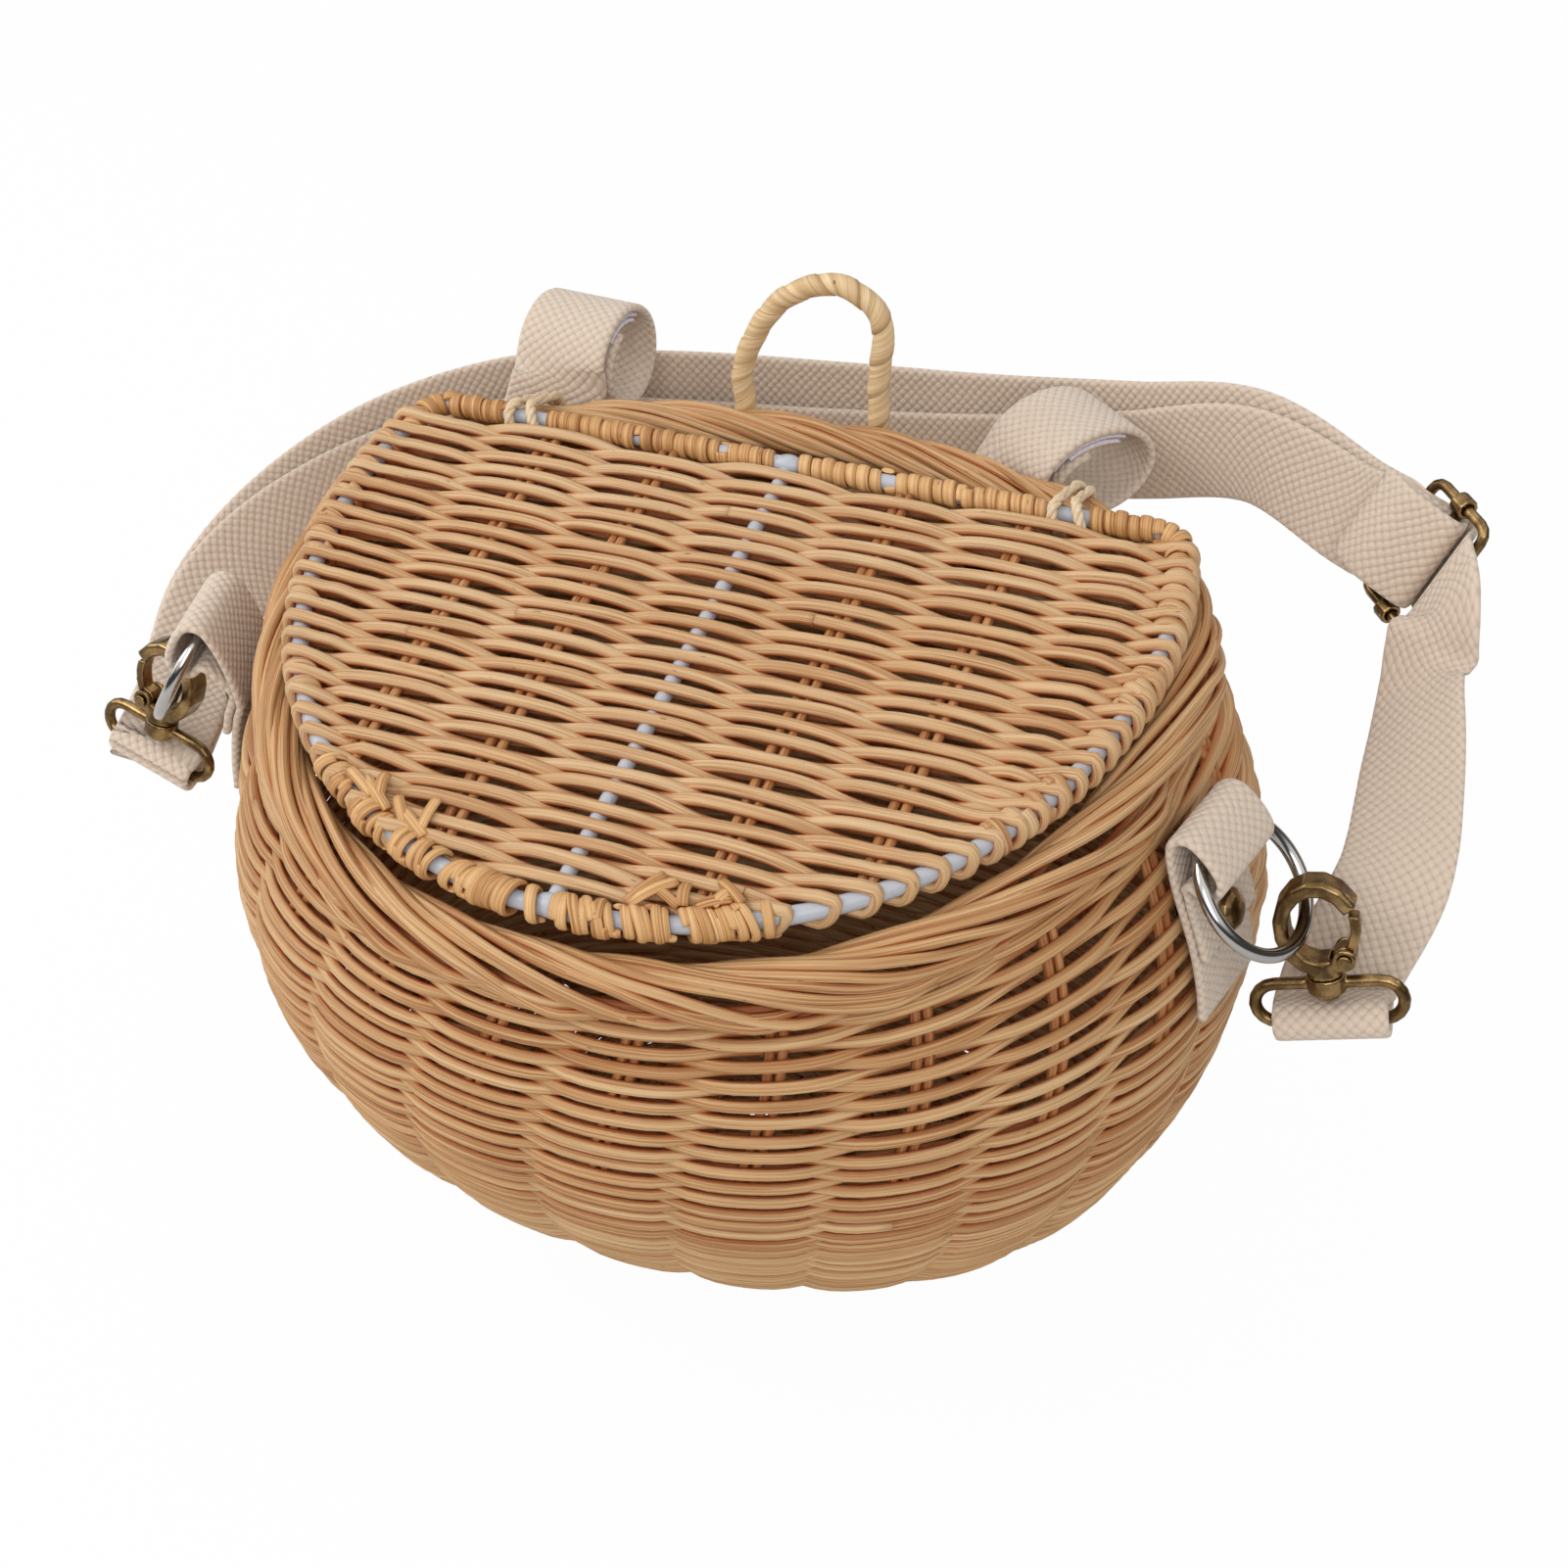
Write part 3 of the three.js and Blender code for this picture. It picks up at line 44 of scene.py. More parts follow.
scene.view_settings.view_transform = "Standard"
bpy.ops.object.select_all(action="DESELECT")
bpy.ops.mesh.primitive_plane_add(size=9, location=(0, 0, 0))
floor = bpy.context.object
floor.name = "floor"


class Shade:
    """A socket of a material. Sums and products of sockets add Math nodes."""

    def __init__(self, tree, socket=None):
        self.tree = tree
        self.socket = socket

    def node(self, kind, settings=None, sockets=None, out=0):
        made = self.tree.nodes.new("ShaderNode" + kind)
        for name, value in (settings or {}).items():
            if name == "stops":
                ramp = made.color_ramp.elements
                while len(ramp) < len(value):
                    ramp.new(0.5)
                for element, (place, colour) in zip(ramp, value):
                    element.position = place
                    element.color = (*colour, 1)
            else:
                setattr(made, name, value)
        for name, value in (sockets or {}).items():
            if isinstance(value, Shade):
                self.tree.links.new(value.socket, made.inputs[name])
            else:
                made.inputs[name].default_value = value
        return Shade(self.tree, made.outputs[out])

    def math(self, operation, first, second=0.0):
        return self.node("Math", {"operation": operation}, {0: first, 1: second})

    def __add__(self, other):
        return self.math("ADD", self, other)

    def __sub__(self, other):
        return self.math("SUBTRACT", self, other)

    def __rsub__(self, other):
        return self.math("SUBTRACT", other, self)

    def __mul__(self, other):
        return self.math("MULTIPLY", self, other)

    __radd__ = __add__
    __rmul__ = __mul__

    def sin(self):
        return self.math("SINE", self)

    def cos(self):
        return self.math("COSINE", self)

    def abs(self):
        return self.math("ABSOLUTE", self)

    def part(self, low, high):
        """0 below low, 1 above high, smooth between."""
        return self.node("MapRange", {"interpolation_type": "SMOOTHSTEP"},
                         {"Value": self, "From Min": low, "From Max": high})

    def vector(self, x, y, z):
        return self.node("CombineXYZ", None, {0: x, 1: y, 2: z})

    def noise(self, vector, scale=1.0, detail=2.0, roughness=0.5):
        return self.node("TexNoise", None, {"Vector": vector, "Scale": scale, "Detail": detail,
                                            "Roughness": roughness})

    def mix(self, share, first, second):
        return self.node("Mix", {"data_type": "RGBA"}, {0: share, 6: first, 7: second}, out=2)

    def bump(self, height, distance, strength):
        return self.node("Bump", None, {"Height": height, "Distance": distance, "Strength": strength})


def new_finish(name):
    """A fresh material, its tree as a Shade and its main shader node."""
    material = bpy.data.materials.new(name)
    material.use_nodes = True
    shader = material.node_tree.nodes["Principled BSDF"]
    return material, Shade(material.node_tree), shader


def feed(shade, shader, **sockets):
    """Links made values to the main shader's sockets."""
    for name, value in sockets.items():
        shade.tree.links.new(value.socket, shader.inputs[name.replace("_", " ")])


def srgb(red, green, blue):
    """Linear colour of 0 to 255 values as seen on a screen."""
    linear = [(c / 255 / 12.92) if c < 10.3 else ((c / 255 + 0.055) / 1.055) ** 2.4
              for c in (red, green, blue)]
    return (*linear, 1)


pale, shade, shader = new_finish("pale_floor")
shader.inputs["Base Color"].default_value = srgb(222, 221, 219)
shader.inputs["Roughness"].default_value = 0.9
shader.inputs["Specular IOR Level"].default_value = 0
glow = shade.node("Emission", None, {"Color": (1, 1, 1, 1), "Strength": 1.0})
seen = shade.node("LightPath", out="Is Camera Ray")
lit = Shade(shade.tree, shader.outputs[0])
both = shade.node("MixShader", None, {0: seen * 0.97, 1: lit, 2: glow})
shade.tree.links.new(both.socket, shade.tree.nodes["Material Output"].inputs[0])
floor.data.materials.append(pale)

world = bpy.data.worlds.new("studio")
world.use_nodes = True
scene.world = world
air = Shade(world.node_tree)
AMBIENT = 0.76
facing = air.node("SeparateXYZ", None, {0: air.node("TexCoord", out="Generated")}, out=2)
mirrored = air.node("LightPath", out="Is Glossy Ray") * (facing.part(0.32, 0.6) * 1.2 - 0.68)
level = AMBIENT + air.node("LightPath", out="Is Camera Ray") * (1 - AMBIENT) + mirrored
light = air.node("Background", None, {"Color": (1, 1, 1, 1), "Strength": level})
world.node_tree.links.new(light.socket, world.node_tree.nodes["World Output"].inputs[0])


LAMP_AIM = Vector((0, 0, 0.1))


def lamp(name, at, size, power):
    data = bpy.data.lights.new(name, "AREA")
    data.shape = "DISK"
    data.size = size
    data.energy = power
    made = bpy.data.objects.new(name, data)
    scene.collection.objects.link(made)
    made.location = at
    made.rotation_euler = (LAMP_AIM - Vector(at)).to_track_quat("-Z", "Y").to_euler()


lamp("key_lamp", (-0.85, -0.6, 1.25), 0.7, 5.7)
lamp("fill_lamp", (0.4, -1.0, 1.0), 0.9, 5.7)
lamp("side_lamp", (-1.25, -0.1, 0.7), 1.0, 5)

# Camera: where the photograph was taken from, with its own focal length in pixels.
# Its place, turn and roll were fitted to the outline of the bowl, the lid and the strap.
PHOTO_SIDE = 1601
FOCAL_PIXELS = 2451
SENSOR = 36
CAMERA_AIM = Vector((0.0079, 0, 0.1148))
CAMERA_AWAY = 0.589
turn, rise, roll = (math.radians(a) for a in (23.4, 38.6, -2.4))
back = Vector((math.sin(turn) * math.cos(rise), -math.cos(turn) * math.cos(rise), math.sin(rise)))
level_right = Vector((math.cos(turn), math.sin(turn), 0))
level_up = back.cross(level_right)
right = level_right * math.cos(roll) + level_up * math.sin(roll)
up = level_up * math.cos(roll) - level_right * math.sin(roll)
camera = bpy.data.objects.new("camera", bpy.data.cameras.new("camera"))
scene.collection.objects.link(camera)
camera.matrix_world = Matrix.Translation(CAMERA_AIM + back * CAMERA_AWAY) @ Matrix(
    (right, up, back)).transposed().to_4x4()
camera.data.sensor_width = SENSOR
camera.data.lens = SENSOR * FOCAL_PIXELS / PHOTO_SIDE
camera.data.clip_start = 0.01
scene.camera = camera

# Bowl, its stakes: pairs of round rattan rods laid across the floor and turned up the wall.
# They lean a little, and the weavers go before and behind them in turn.
STAKE_COUNT = 21
STAKE_PHASE = 0.5
STAKE_LEAN = 0.4
STAKE_ROD = 2.3
STAKE_APART = 2.7
BASE_SIZE = np.array([80.0, 54.0, 40.0])
BELLY_SIZE = np.array([124.0, 116.0, 61.0])
RIM_SIZE = np.array([106.0, 111.0, 50.0])
BELLY_HEIGHT = 104.0
OVAL_POWER = 2.15
LOWER_FULLNESS = 1.9
HINGE_Y = 29.5
RIM_HEIGHT = 177.5
LID_SLOPE = math.radians(11.7)
FLOOR_LIFT = 2.9
WALL_MIDDLE = 0.2
BORDER_DROP = 5.3
FOOT_LEVEL = 0.04
RING_POINTS = 1441
NEARBY = 0.03
# How far the rattan's painted shade looks for nearby weave, in metres.
SHADE_REACH = 0.11
chance = np.random.default_rng(7)


def unit(v):
    return v / np.maximum(np.linalg.norm(v, axis=-1, keepdims=True), 1e-9)


def run_length(points):
    """Way gone along a line, at each of its points."""
    return np.concatenate([[0], np.cumsum(np.linalg.norm(np.diff(points, axis=0), axis=1))])


def oval(size, angle):
    """Egg-shaped outline with its own half width and its reach to the front and to the back."""
    c, s = np.cos(angle), np.sin(angle)
    reach = np.where(s < 0, size[..., 1], size[..., 2])
    rounded = [np.sign(v) * np.abs(v) ** (2 / OVAL_POWER) for v in (c, s)]
    return np.stack([size[..., 0] * rounded[0], reach * rounded[1]], -1)


ring_angles = np.linspace(0, 2 * math.pi, RING_POINTS)
belly_way = run_length(oval(np.broadcast_to(BELLY_SIZE, (RING_POINTS, 3)), ring_angles))


def angle_at(place):
    """Angle of a place counted in stakes, evenly spaced round the belly."""
    turns = (np.asarray(place, float) + STAKE_PHASE) / STAKE_COUNT
    return np.interp((turns % 1) * belly_way[-1], belly_way, ring_angles)


def rim_height(y):
    return RIM_HEIGHT + (y - HINGE_Y) * math.tan(LID_SLOPE)


def bowl(place, level):
    """Middle of the wall: level 0 is the floor's edge, 1 the belly, 2 the top edge."""
    place, level = np.broadcast_arrays(np.asarray(place, float), np.asarray(level, float))
    low = level < 1
    share = np.where(low, 1 - (1 - np.clip(level, 0, 1)) ** LOWER_FULLNESS, 1 - (level - 1) ** 2)
    start = np.where(low[..., None], BASE_SIZE, RIM_SIZE)
    size = start + (BELLY_SIZE - start) * share[..., None]
    p = oval(size, angle_at(place + STAKE_LEAN * (level - 1)))
    top = rim_height(p[..., 1]) - BORDER_DROP
    height = np.where(low, BELLY_HEIGHT * level, BELLY_HEIGHT + (top - BELLY_HEIGHT) * (level - 1))
    return np.concatenate([p, height[..., None]], -1)


def wall_normal(place, level):
    """Directions out of the wall and along it."""
    place, level = np.broadcast_arrays(np.asarray(place, float), np.asarray(level, float))
    along = bowl(place + NEARBY, level) - bowl(place - NEARBY, level)
    along[..., 2] = 0
    climb = bowl(place, level + NEARBY) - bowl(place, np.maximum(level - NEARBY, 0))
    normal = np.cross(unit(along), climb)
    normal[..., 2] = np.where(level >= 2, 0, normal[..., 2])
    return unit(normal), unit(along)


def wall(place, level, out=0.0):
    normal, _ = wall_normal(place, level)
    return bowl(place, level) + normal * np.asarray(out, float)[..., None]


def frames(points, up=None, closed=False):
    """Across and face directions at each point of a line."""
    if closed:
        along = np.roll(points, -1, 0) - np.roll(points, 1, 0)
    else:
        along = np.gradient(points, axis=0)
    along = unit(along)
    if up is None:
        across = np.zeros_like(points)
        last = np.cross(along[0], [0.31, 0.52, 0.79])
        for i, way in enumerate(along):
            last = last - way * last.dot(way)
            last = last / np.linalg.norm(last)
            across[i] = last
    else:
        up = np.broadcast_to(np.asarray(up, float), points.shape)
        across = unit(np.cross(up, along))
    return across, np.cross(along, across)


def tube(points, width, height=None, up=None, sides=8, closed=False):
    """Rings of an oval section along a line, with its length and a tone of its own."""
    points = np.asarray(points, float)
    across, face = frames(points, up, closed)
    height = width if height is None else height
    w, h = (np.broadcast_to(np.asarray(v, float) / 2, len(points))[:, None, None] for v in (width, height))
    angle = (np.arange(sides) + 0.5) * 2 * math.pi / sides
    c, s = np.cos(angle)[None, :, None], np.sin(angle)[None, :, None]
    rings = points[:, None, :] + across[:, None, :] * c * w + face[:, None, :] * s * h
    return rings, run_length(points), chance.random(), closed


def new_piece(name, verts, faces, uvs, smooth, finish, body):
    """A mesh of points in mm, with its UV map, that rides a body."""
    mesh = bpy.data.meshes.new(name)
    mesh.from_pydata((np.concatenate(verts) * MM).tolist(), [], faces)
    uv_map = mesh.uv_layers.new(name="UVMap")
    uv_map.data.foreach_set("uv", np.concatenate(uvs).astype(np.float32).ravel())
    mesh.polygons.foreach_set("use_smooth", smooth)
    mesh.materials.append(finish)
    made = bpy.data.objects.new(name, mesh)
    scene.collection.objects.link(made)
    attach(made, body)
    return made


def swept(name, tubes, finish, body="basket"):
    """One mesh from many tubes. Its UV map is length along and way round, in metres and turns."""
    verts, faces, uvs, tones, smooth, base = [], [], [], [], [], 0
    for rings, lengths, tone, closed in tubes:
        n, s = rings.shape[:2]
        i = np.arange(n if closed else n - 1)[:, None]
        j = np.arange(s)[None, :]
        after, beside = (i + 1) % n, (j + 1) % s
        quads = np.stack([i * s + j, i * s + beside, after * s + beside, after * s + j], -1).reshape(-1, 4)
        u = np.append(lengths, 2 * lengths[-1] - lengths[-2]) * MM
        first, second, v, w = (np.broadcast_to(part, (len(i), s))
                               for part in (u[i], u[i + 1], j / s, (j + 1) / s))
        uv = np.stack([first, v, first, w, second, w, second, v], -1).reshape(-1, 2)
        faces.extend((quads + base).tolist())
        uvs.append(uv)
        smooth.extend([True] * len(quads))
        if not closed:
            for ring, flip in ((0, -1), (n - 1, 1)):
                faces.append((base + ring * s + np.arange(s)[::flip]).tolist())
                uvs.append(np.column_stack([np.full(s, u[ring]), np.full(s, 0.5)]))
                smooth.append(False)
        verts.append(rings.reshape(-1, 3))
        tones.append(np.full(n * s, tone))
        base += n * s
    made = new_piece(name, verts, faces, uvs, smooth, finish, body)
    strand = made.data.attributes.new("strand", "FLOAT", "POINT")
    strand.data.foreach_set("value", np.concatenate(tones).astype(np.float32))
    return made


def darker(tint, share):
    return (*[c * share for c in tint[:3]], 1)


def strip_places(shade):
    """Length along a strand or strip, and place across or round it."""
    place = shade.node("UVMap", {"uv_map": "UVMap"})
    return [shade.node("SeparateXYZ", None, {0: place}, out=k) for k in (0, 1)]


def rattan(name, deep, middle, pale_tone, streaks=1.0):
    """Peeled rattan core: long fibres, a tone for each strand, fine dark lines and specks, and painted
    red-brown shade where the weave closes in on it.
    """
    material, shade, shader = new_finish(name)
    along, around = strip_places(shade)
    around = around * (2 * math.pi)
    strand = shade.node("Attribute", {"attribute_name": "strand"}, out="Fac")
    shift = strand * 37.0
    x, y = around.cos(), around.sin()
    fibre = shade.noise(shade.vector(along * 16 + shift, x * 2.6, y * 2.6), detail=3)
    line = shade.noise(shade.vector(along * 34 + shift, x * 7, y * 7), detail=3, roughness=0.6)
    patch = shade.noise(shade.vector(along * 22 + shift, strand * 11, 0.0), detail=2)
    tone = fibre.part(0.32, 0.68) * 0.6 + patch * 0.45 + strand * 0.32 - 0.2
    stops = [(0.0, deep[:3]), (0.5, middle[:3]), (1.0, pale_tone[:3])]
    colour = shade.node("ValToRGB", {"stops": stops}, {0: tone})
    dark = line.part(0.5, 0.68) * (0.62 * streaks)
    colour = shade.mix(dark, colour, darker(deep, 0.62))
    # Painted shade: where ambient occlusion finds the strand closed in by its own mesh, in creases and inside
    # the bowl, the colour turns red-brown, and deep red-brown where it is most shut in.
    open_share = shade.node("AmbientOcclusion", {"samples": 4, "only_local": True},
                            {"Distance": SHADE_REACH}, out="AO")
    painted_shade = 1 - open_share
    colour = shade.mix(painted_shade.part(0.42, 0.76) * 0.9, colour, srgb(188, 96, 42))
    colour = shade.mix(painted_shade.part(0.75, 1.0) * 0.6, colour, srgb(146, 62, 18))
    speck = shade.noise(shade.vector(along * 260 + shift, x * 1.4, y * 1.4), detail=1).part(0.76, 0.8)
    colour = shade.mix(speck * 0.65, colour, srgb(92, 52, 24))
    height = line * 0.6 + fibre
    feed(shade, shader, Base_Color=colour, Roughness=line * 0.26 + 0.36,
         Normal=shade.bump(height, 0.0005, 0.6))
    shader.inputs["Specular IOR Level"].default_value = 0.42
    return material


# The stakes' tones are darker and redder than the weavers': partly the rods' own tone, partly painted shade
# for the slits in the wall where they show.
stake_rattan = rattan("stake_rattan", srgb(132, 74, 36), srgb(176, 114, 64), srgb(200, 146, 94))
levels = np.concatenate([np.linspace(FOOT_LEVEL, 0.3, 6), np.linspace(0.4, 1.97, 22)])
lashing_middle = np.array([0.0, (BASE_SIZE[2] - BASE_SIZE[1]) / 2, FLOOR_LIFT])
rods = []
for stake in range(STAKE_COUNT):
    for side in (-1, 1):
        reach = wall(stake + side * 0.05, FOOT_LEVEL)
        spacing = np.linalg.norm(wall(stake + 0.5, levels) - wall(stake - 0.5, levels), axis=1)
        up_wall = wall(stake + side * STAKE_APART / 2 / spacing, levels,
                       np.full(len(levels), WALL_MIDDLE))
        across = np.cross(unit(reach - lashing_middle), [0, 0, 1])
        start = lashing_middle + across * side * 0.9
        start[2] += 0.25 * (stake % 3)
        run = [start + (reach - start) * f for f in (0.06, 0.3, 0.55, 0.8, 0.93)]
        for i, p in enumerate(run):
            p[2] = FLOOR_LIFT + (0.3 if i == 4 else 0)
        path = np.concatenate([run, up_wall])
        rods.append(tube(path, STAKE_ROD * chance.uniform(0.93, 1.05), sides=7))
stakes = swept("stake_rods", rods, stake_rattan)
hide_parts("stake_frame")

# Bowl, its weave: one long round weaver that winds from the floor's middle up to the rim,
# before one stake pair and behind the next, beaten down so that the rows lie close.
WALL_ROWS = 68
FLOOR_ROWS = 20
WEAVER = 3.1
WEAVER_FLATNESS = 0.8
SWING = 1.75
SWING_SHARPNESS = 1.5
ROW_STEPS = 8
FIRST_ROW, LAST_ROW = 0.035, 1.985
FRONT_PLACE = 15.2
FRONT_POINTS = 400
FLOOR_STEPS = 6
FLOOR_WEAVER = 3.9
FLOOR_THICK = 2.5
FLOOR_SWING = 1.1


def drift(length, waves, size):
    """Slow seeded wander along a weaver."""
    t = np.arange(length)
    total = np.zeros(length)
    for _ in range(4):
        total += np.sin(t * chance.uniform(0.4, 1.6) * waves + chance.uniform(0, 6.3))
    return total * size / 2


def ease(value, low, high):
    """0 below low, 1 above high, smooth between."""
    share = np.clip((value - low) / (high - low), 0, 1)
    return share * share * (3 - 2 * share)


def swing(t):
    """1 before a stake, -1 behind the next, with quick crossings between."""
    return np.tanh(SWING_SHARPNESS * np.cos(math.pi * t)) / math.tanh(SWING_SHARPNESS)


body_rattan = rattan("body_rattan", srgb(154, 98, 50), srgb(195, 152, 102), srgb(210, 178, 134))
front_levels = np.linspace(FIRST_ROW, LAST_ROW, FRONT_POINTS)
front_way = run_length(wall(np.full(FRONT_POINTS, FRONT_PLACE), front_levels))
count = WALL_ROWS * STAKE_COUNT * ROW_STEPS
place = np.arange(count) / ROW_STEPS
row = place / STAKE_COUNT
row_way = (row + drift(count, 0.011, 0.14)) / WALL_ROWS * front_way[-1]
row_level = np.clip(np.interp(row_way, front_way, front_levels), 0.02, 1.99)
tight = np.maximum(ease(bowl(place, row_level)[:, 1], -45, 10), ease(row_level, 0.4, 0.12))
around = STAKE_COUNT * ROW_STEPS
middle = wall(place, row_level, np.full(count, WALL_MIDDLE))
pitch = np.linalg.norm(middle[around:] - middle[:-around], axis=1)
pitch = np.append(pitch, pitch[-around:])
thick = WEAVER * (1 + drift(count, 0.02, 0.035)) * (0.9 + 0.1 * np.abs(swing(place)))
thick = np.maximum(thick, np.clip(pitch, WEAVER, 1.5 * WEAVER) * 1.12 * tight)
out = WALL_MIDDLE + SWING * (1 - 0.62 * tight) * swing(place) + drift(count, 0.15, 0.07)
path = wall(place, row_level, out)
normal, _ = wall_normal(place, row_level)
cuts = np.cumsum(chance.integers(55, 110, 400)) * ROW_STEPS // 2
cuts = [0, *cuts[cuts < count - 200], count]
deep = thick * (WEAVER_FLATNESS + 0.2 * tight)
weavers = [tube(path[a:b + 1], thick[a:b + 1], deep[a:b + 1], up=normal[a:b + 1], sides=7)
           for a, b in zip(cuts, cuts[1:])]
weave = swept("wall_weave", weavers, body_rattan)
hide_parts("woven_shell")

count = FLOOR_ROWS * STAKE_COUNT * FLOOR_STEPS
place = np.arange(count) / FLOOR_STEPS
spread = np.linspace(0.1, 0.99, count)
edge = bowl(place, np.full(count, 0.02))
path = lashing_middle + (edge - lashing_middle) * spread[:, None]
path[:, 2] = FLOOR_LIFT + FLOOR_SWING * swing(place)
floor_strand = tube(path, FLOOR_WEAVER + spread, FLOOR_THICK, up=(0, 0, 1), sides=7)
mat = swept("floor_weave", [floor_strand], body_rattan)

# Border: the stakes' ends, soaked and laid down along the rim. Each rises inside the wall, crosses
# over the top on a long slant and runs down outside, where its end is tucked into the weave.
BORDER_SPAN = 3.6
BORDER_RODS = 3
BORDER_ROD = 2.55
BACK_ROD = 2.6
BORDER_POINTS = 40
BORDER_HALF = 4.2
BORDER_WANDER = 0.8
BORDER_START, BORDER_TURN = 214, 236
TUCK_FROM, TUCK_BY = 3.9, 3.2
CLOSING_ROD = 2.7
border_rattan = rattan("border_rattan", srgb(150, 94, 48), srgb(194, 149, 99), srgb(212, 179, 134))


def rim_line(place):
    """Middle of the border at a place, and the direction out of it."""
    p = bowl(place, np.full(np.shape(place), 2.0))
    p[..., 2] = rim_height(p[..., 1])
    return p, wall_normal(place, np.full(np.shape(place), 2.0))[0]


bundles = []
for stake in range(STAKE_COUNT):
    for rank in range(BORDER_RODS):
        begin = stake + rank / BORDER_RODS + chance.uniform(-0.08, 0.08)
        share = np.linspace(0, 1, BORDER_POINTS)
        place = begin + share * BORDER_SPAN * chance.uniform(0.92, 1.12)
        middle, normal = rim_line(place)
        rear = ease(middle[BORDER_POINTS // 2, 1], -30, 30)
        angle = np.radians(BORDER_START - BORDER_TURN * np.clip(share / 0.82, 0, 1) ** 0.92)
        wander = BORDER_WANDER * np.sin(share * 9 + rank * 2.1 + stake * 1.3) * np.sin(math.pi * share)
        wide = (BORDER_HALF + wander) * (1 - 0.35 * ease(share, 0.1, 0.0))
        path = middle + normal * (wide * 1.05 * np.cos(angle))[:, None]
        path[:, 2] += wide * 0.95 * np.sin(angle)
        level = 2 - chance.uniform(0.0, 0.11) * ease(share, 0.5, 1.0)
        on_wall = wall(place, level, TUCK_FROM - TUCK_BY * ease(share, 0.9, 1.0))
        settle = ease(share, 0.6, 0.92)[:, None]
        path = path * (1 - settle) + on_wall * settle
        rod = (BORDER_ROD + (BACK_ROD - BORDER_ROD) * rear) * chance.uniform(0.9, 1.08)
        bundles.append(tube(path, rod, sides=8))
for level, out in ((1.9, -0.9), (1.93, 0.7), (1.96, -0.9), (1.985, 0.7)):
    place = np.linspace(0, STAKE_COUNT, 24 * STAKE_COUNT + 1)[:-1]
    out = WALL_MIDDLE + out * (1 + 0.3 * np.sin(place * math.pi * 2 / 3))
    closing = wall(place, np.full(len(place), level), out)
    bundles.append(tube(closing, CLOSING_ROD, sides=8, closed=True))
border = swept("border_strands", bundles, border_rattan)
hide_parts("rim_border")

# Handle: a bent rattan rod behind the border, wound from foot to foot with a flat pale strip
# whose turns lie edge to edge on the slant.
HANDLE_LEFT, HANDLE_RIGHT = -23.0, 12.0
HANDLE_TOP = 224.0
HANDLE_LEAN = 8.0
HANDLE_CORE = 4.2
HANDLE_FOOT_LEVEL = 1.72
HANDLE_FOOT_OUT = 4.6
BORDER_RADIUS = 5.5
STRIP_ROOM = 1.3
STRIP_WIDTH = 8.2
STRIP_PITCH = 9.0
STRIP_THICK = 0.9


def smooth_line(points, places):
    """Centripetal curve through points, at places from 0 to 1."""
    points = np.asarray(points, float)
    points = np.concatenate([[2 * points[0] - points[1]], points, [2 * points[-1] - points[-2]]])
    last = len(points) - 3
    made = []
    for u in np.asarray(places, float):
        i = min(int(u * last), last - 1)
        t = u * last - i
        p = points[i:i + 4]
        gaps = np.maximum(np.linalg.norm(np.diff(p, axis=0), axis=1) ** 0.5, 1e-4)
        first, second = (gaps[1] * ((p[k + 1] - p[k]) / gaps[k]
                                    - (p[k + 2] - p[k]) / (gaps[k] + gaps[k + 1])
                                    + (p[k + 2] - p[k + 1]) / gaps[k + 1]) for k in (0, 1))
        made.append(p[1] + first * t + (3 * (p[2] - p[1]) - 2 * first - second) * t ** 2
                    + (2 * (p[1] - p[2]) + first + second) * t ** 3)
    return np.array(made)


def back_place(x, first=0.0, step=0.025):
    """Place on the back of the wall that lies at a given x."""
    places = first + step * np.arange(int(STAKE_COUNT / 2 / step))
    points = wall(places, np.full(len(places), 2.0), np.zeros(len(places)))
    return places[np.argmin(np.where(points[:, 1] > 0, np.abs(points[:, 0] - x), 1e9))]


def between(wanted, known, rows):
    """Rows of three that are known at some places, at the places wanted."""
    return np.stack([np.interp(wanted, known, rows[:, k]) for k in range(3)], -1)


def rim_back(x):
    """How far back the wall's top edge lies at a given x."""
    return RIM_SIZE[2] * (1 - (abs(x) / RIM_SIZE[0]) ** OVAL_POWER) ** (1 / OVAL_POWER)


def handle_line():
    """Middle of the handle's rod: a foot on the wall, the arch and the other foot."""
    outer = HANDLE_CORE / 2 + STRIP_ROOM

    def leg(x):
        foot = wall(back_place(x), HANDLE_FOOT_LEVEL, np.array(HANDLE_FOOT_OUT + outer))
        behind = rim_back(x) + BORDER_RADIUS + outer - 0.5
        return [np.array([x, foot[1], foot[2]]), np.array([x, behind, rim_height(behind)]),
                np.array([x, behind, rim_height(behind) + 12])]

    left, right_leg = leg(HANDLE_LEFT), leg(HANDLE_RIGHT)
    middle, half = (HANDLE_LEFT + HANDLE_RIGHT) / 2, (HANDLE_RIGHT - HANDLE_LEFT) / 2
    spring = left[2][2] + 4
    arch = []
    for share in (0.5, 0, -0.5):
        angle = math.pi / 2 + share * math.pi / 2
        arch.append(np.array([middle + half * math.cos(angle) + HANDLE_LEAN * math.sin(angle), left[2][1],
                              spring + (HANDLE_TOP - outer - spring) * math.sin(angle)]))
    return smooth_line([*left, *arch, *right_leg[::-1]], np.linspace(0, 1, 160))


def wound(line, start, pitch, steps, up):
    """Way along a line, with the middle, angle and directions of a winding on it."""
    across, face = frames(line, up)
    way = run_length(line)
    s = np.linspace(0, way[-1], max(int(way[-1] / pitch * steps), 4))
    angle = start + s / pitch * 2 * math.pi

    def at(s, angle, radius):
        spots, first, second = (between(s, way, a) for a in (line, across, face))
        around = first * np.cos(angle)[:, None] + second * np.sin(angle)[:, None]
        return spots + around * np.broadcast_to(radius, len(s))[:, None], around

    return s, angle, at


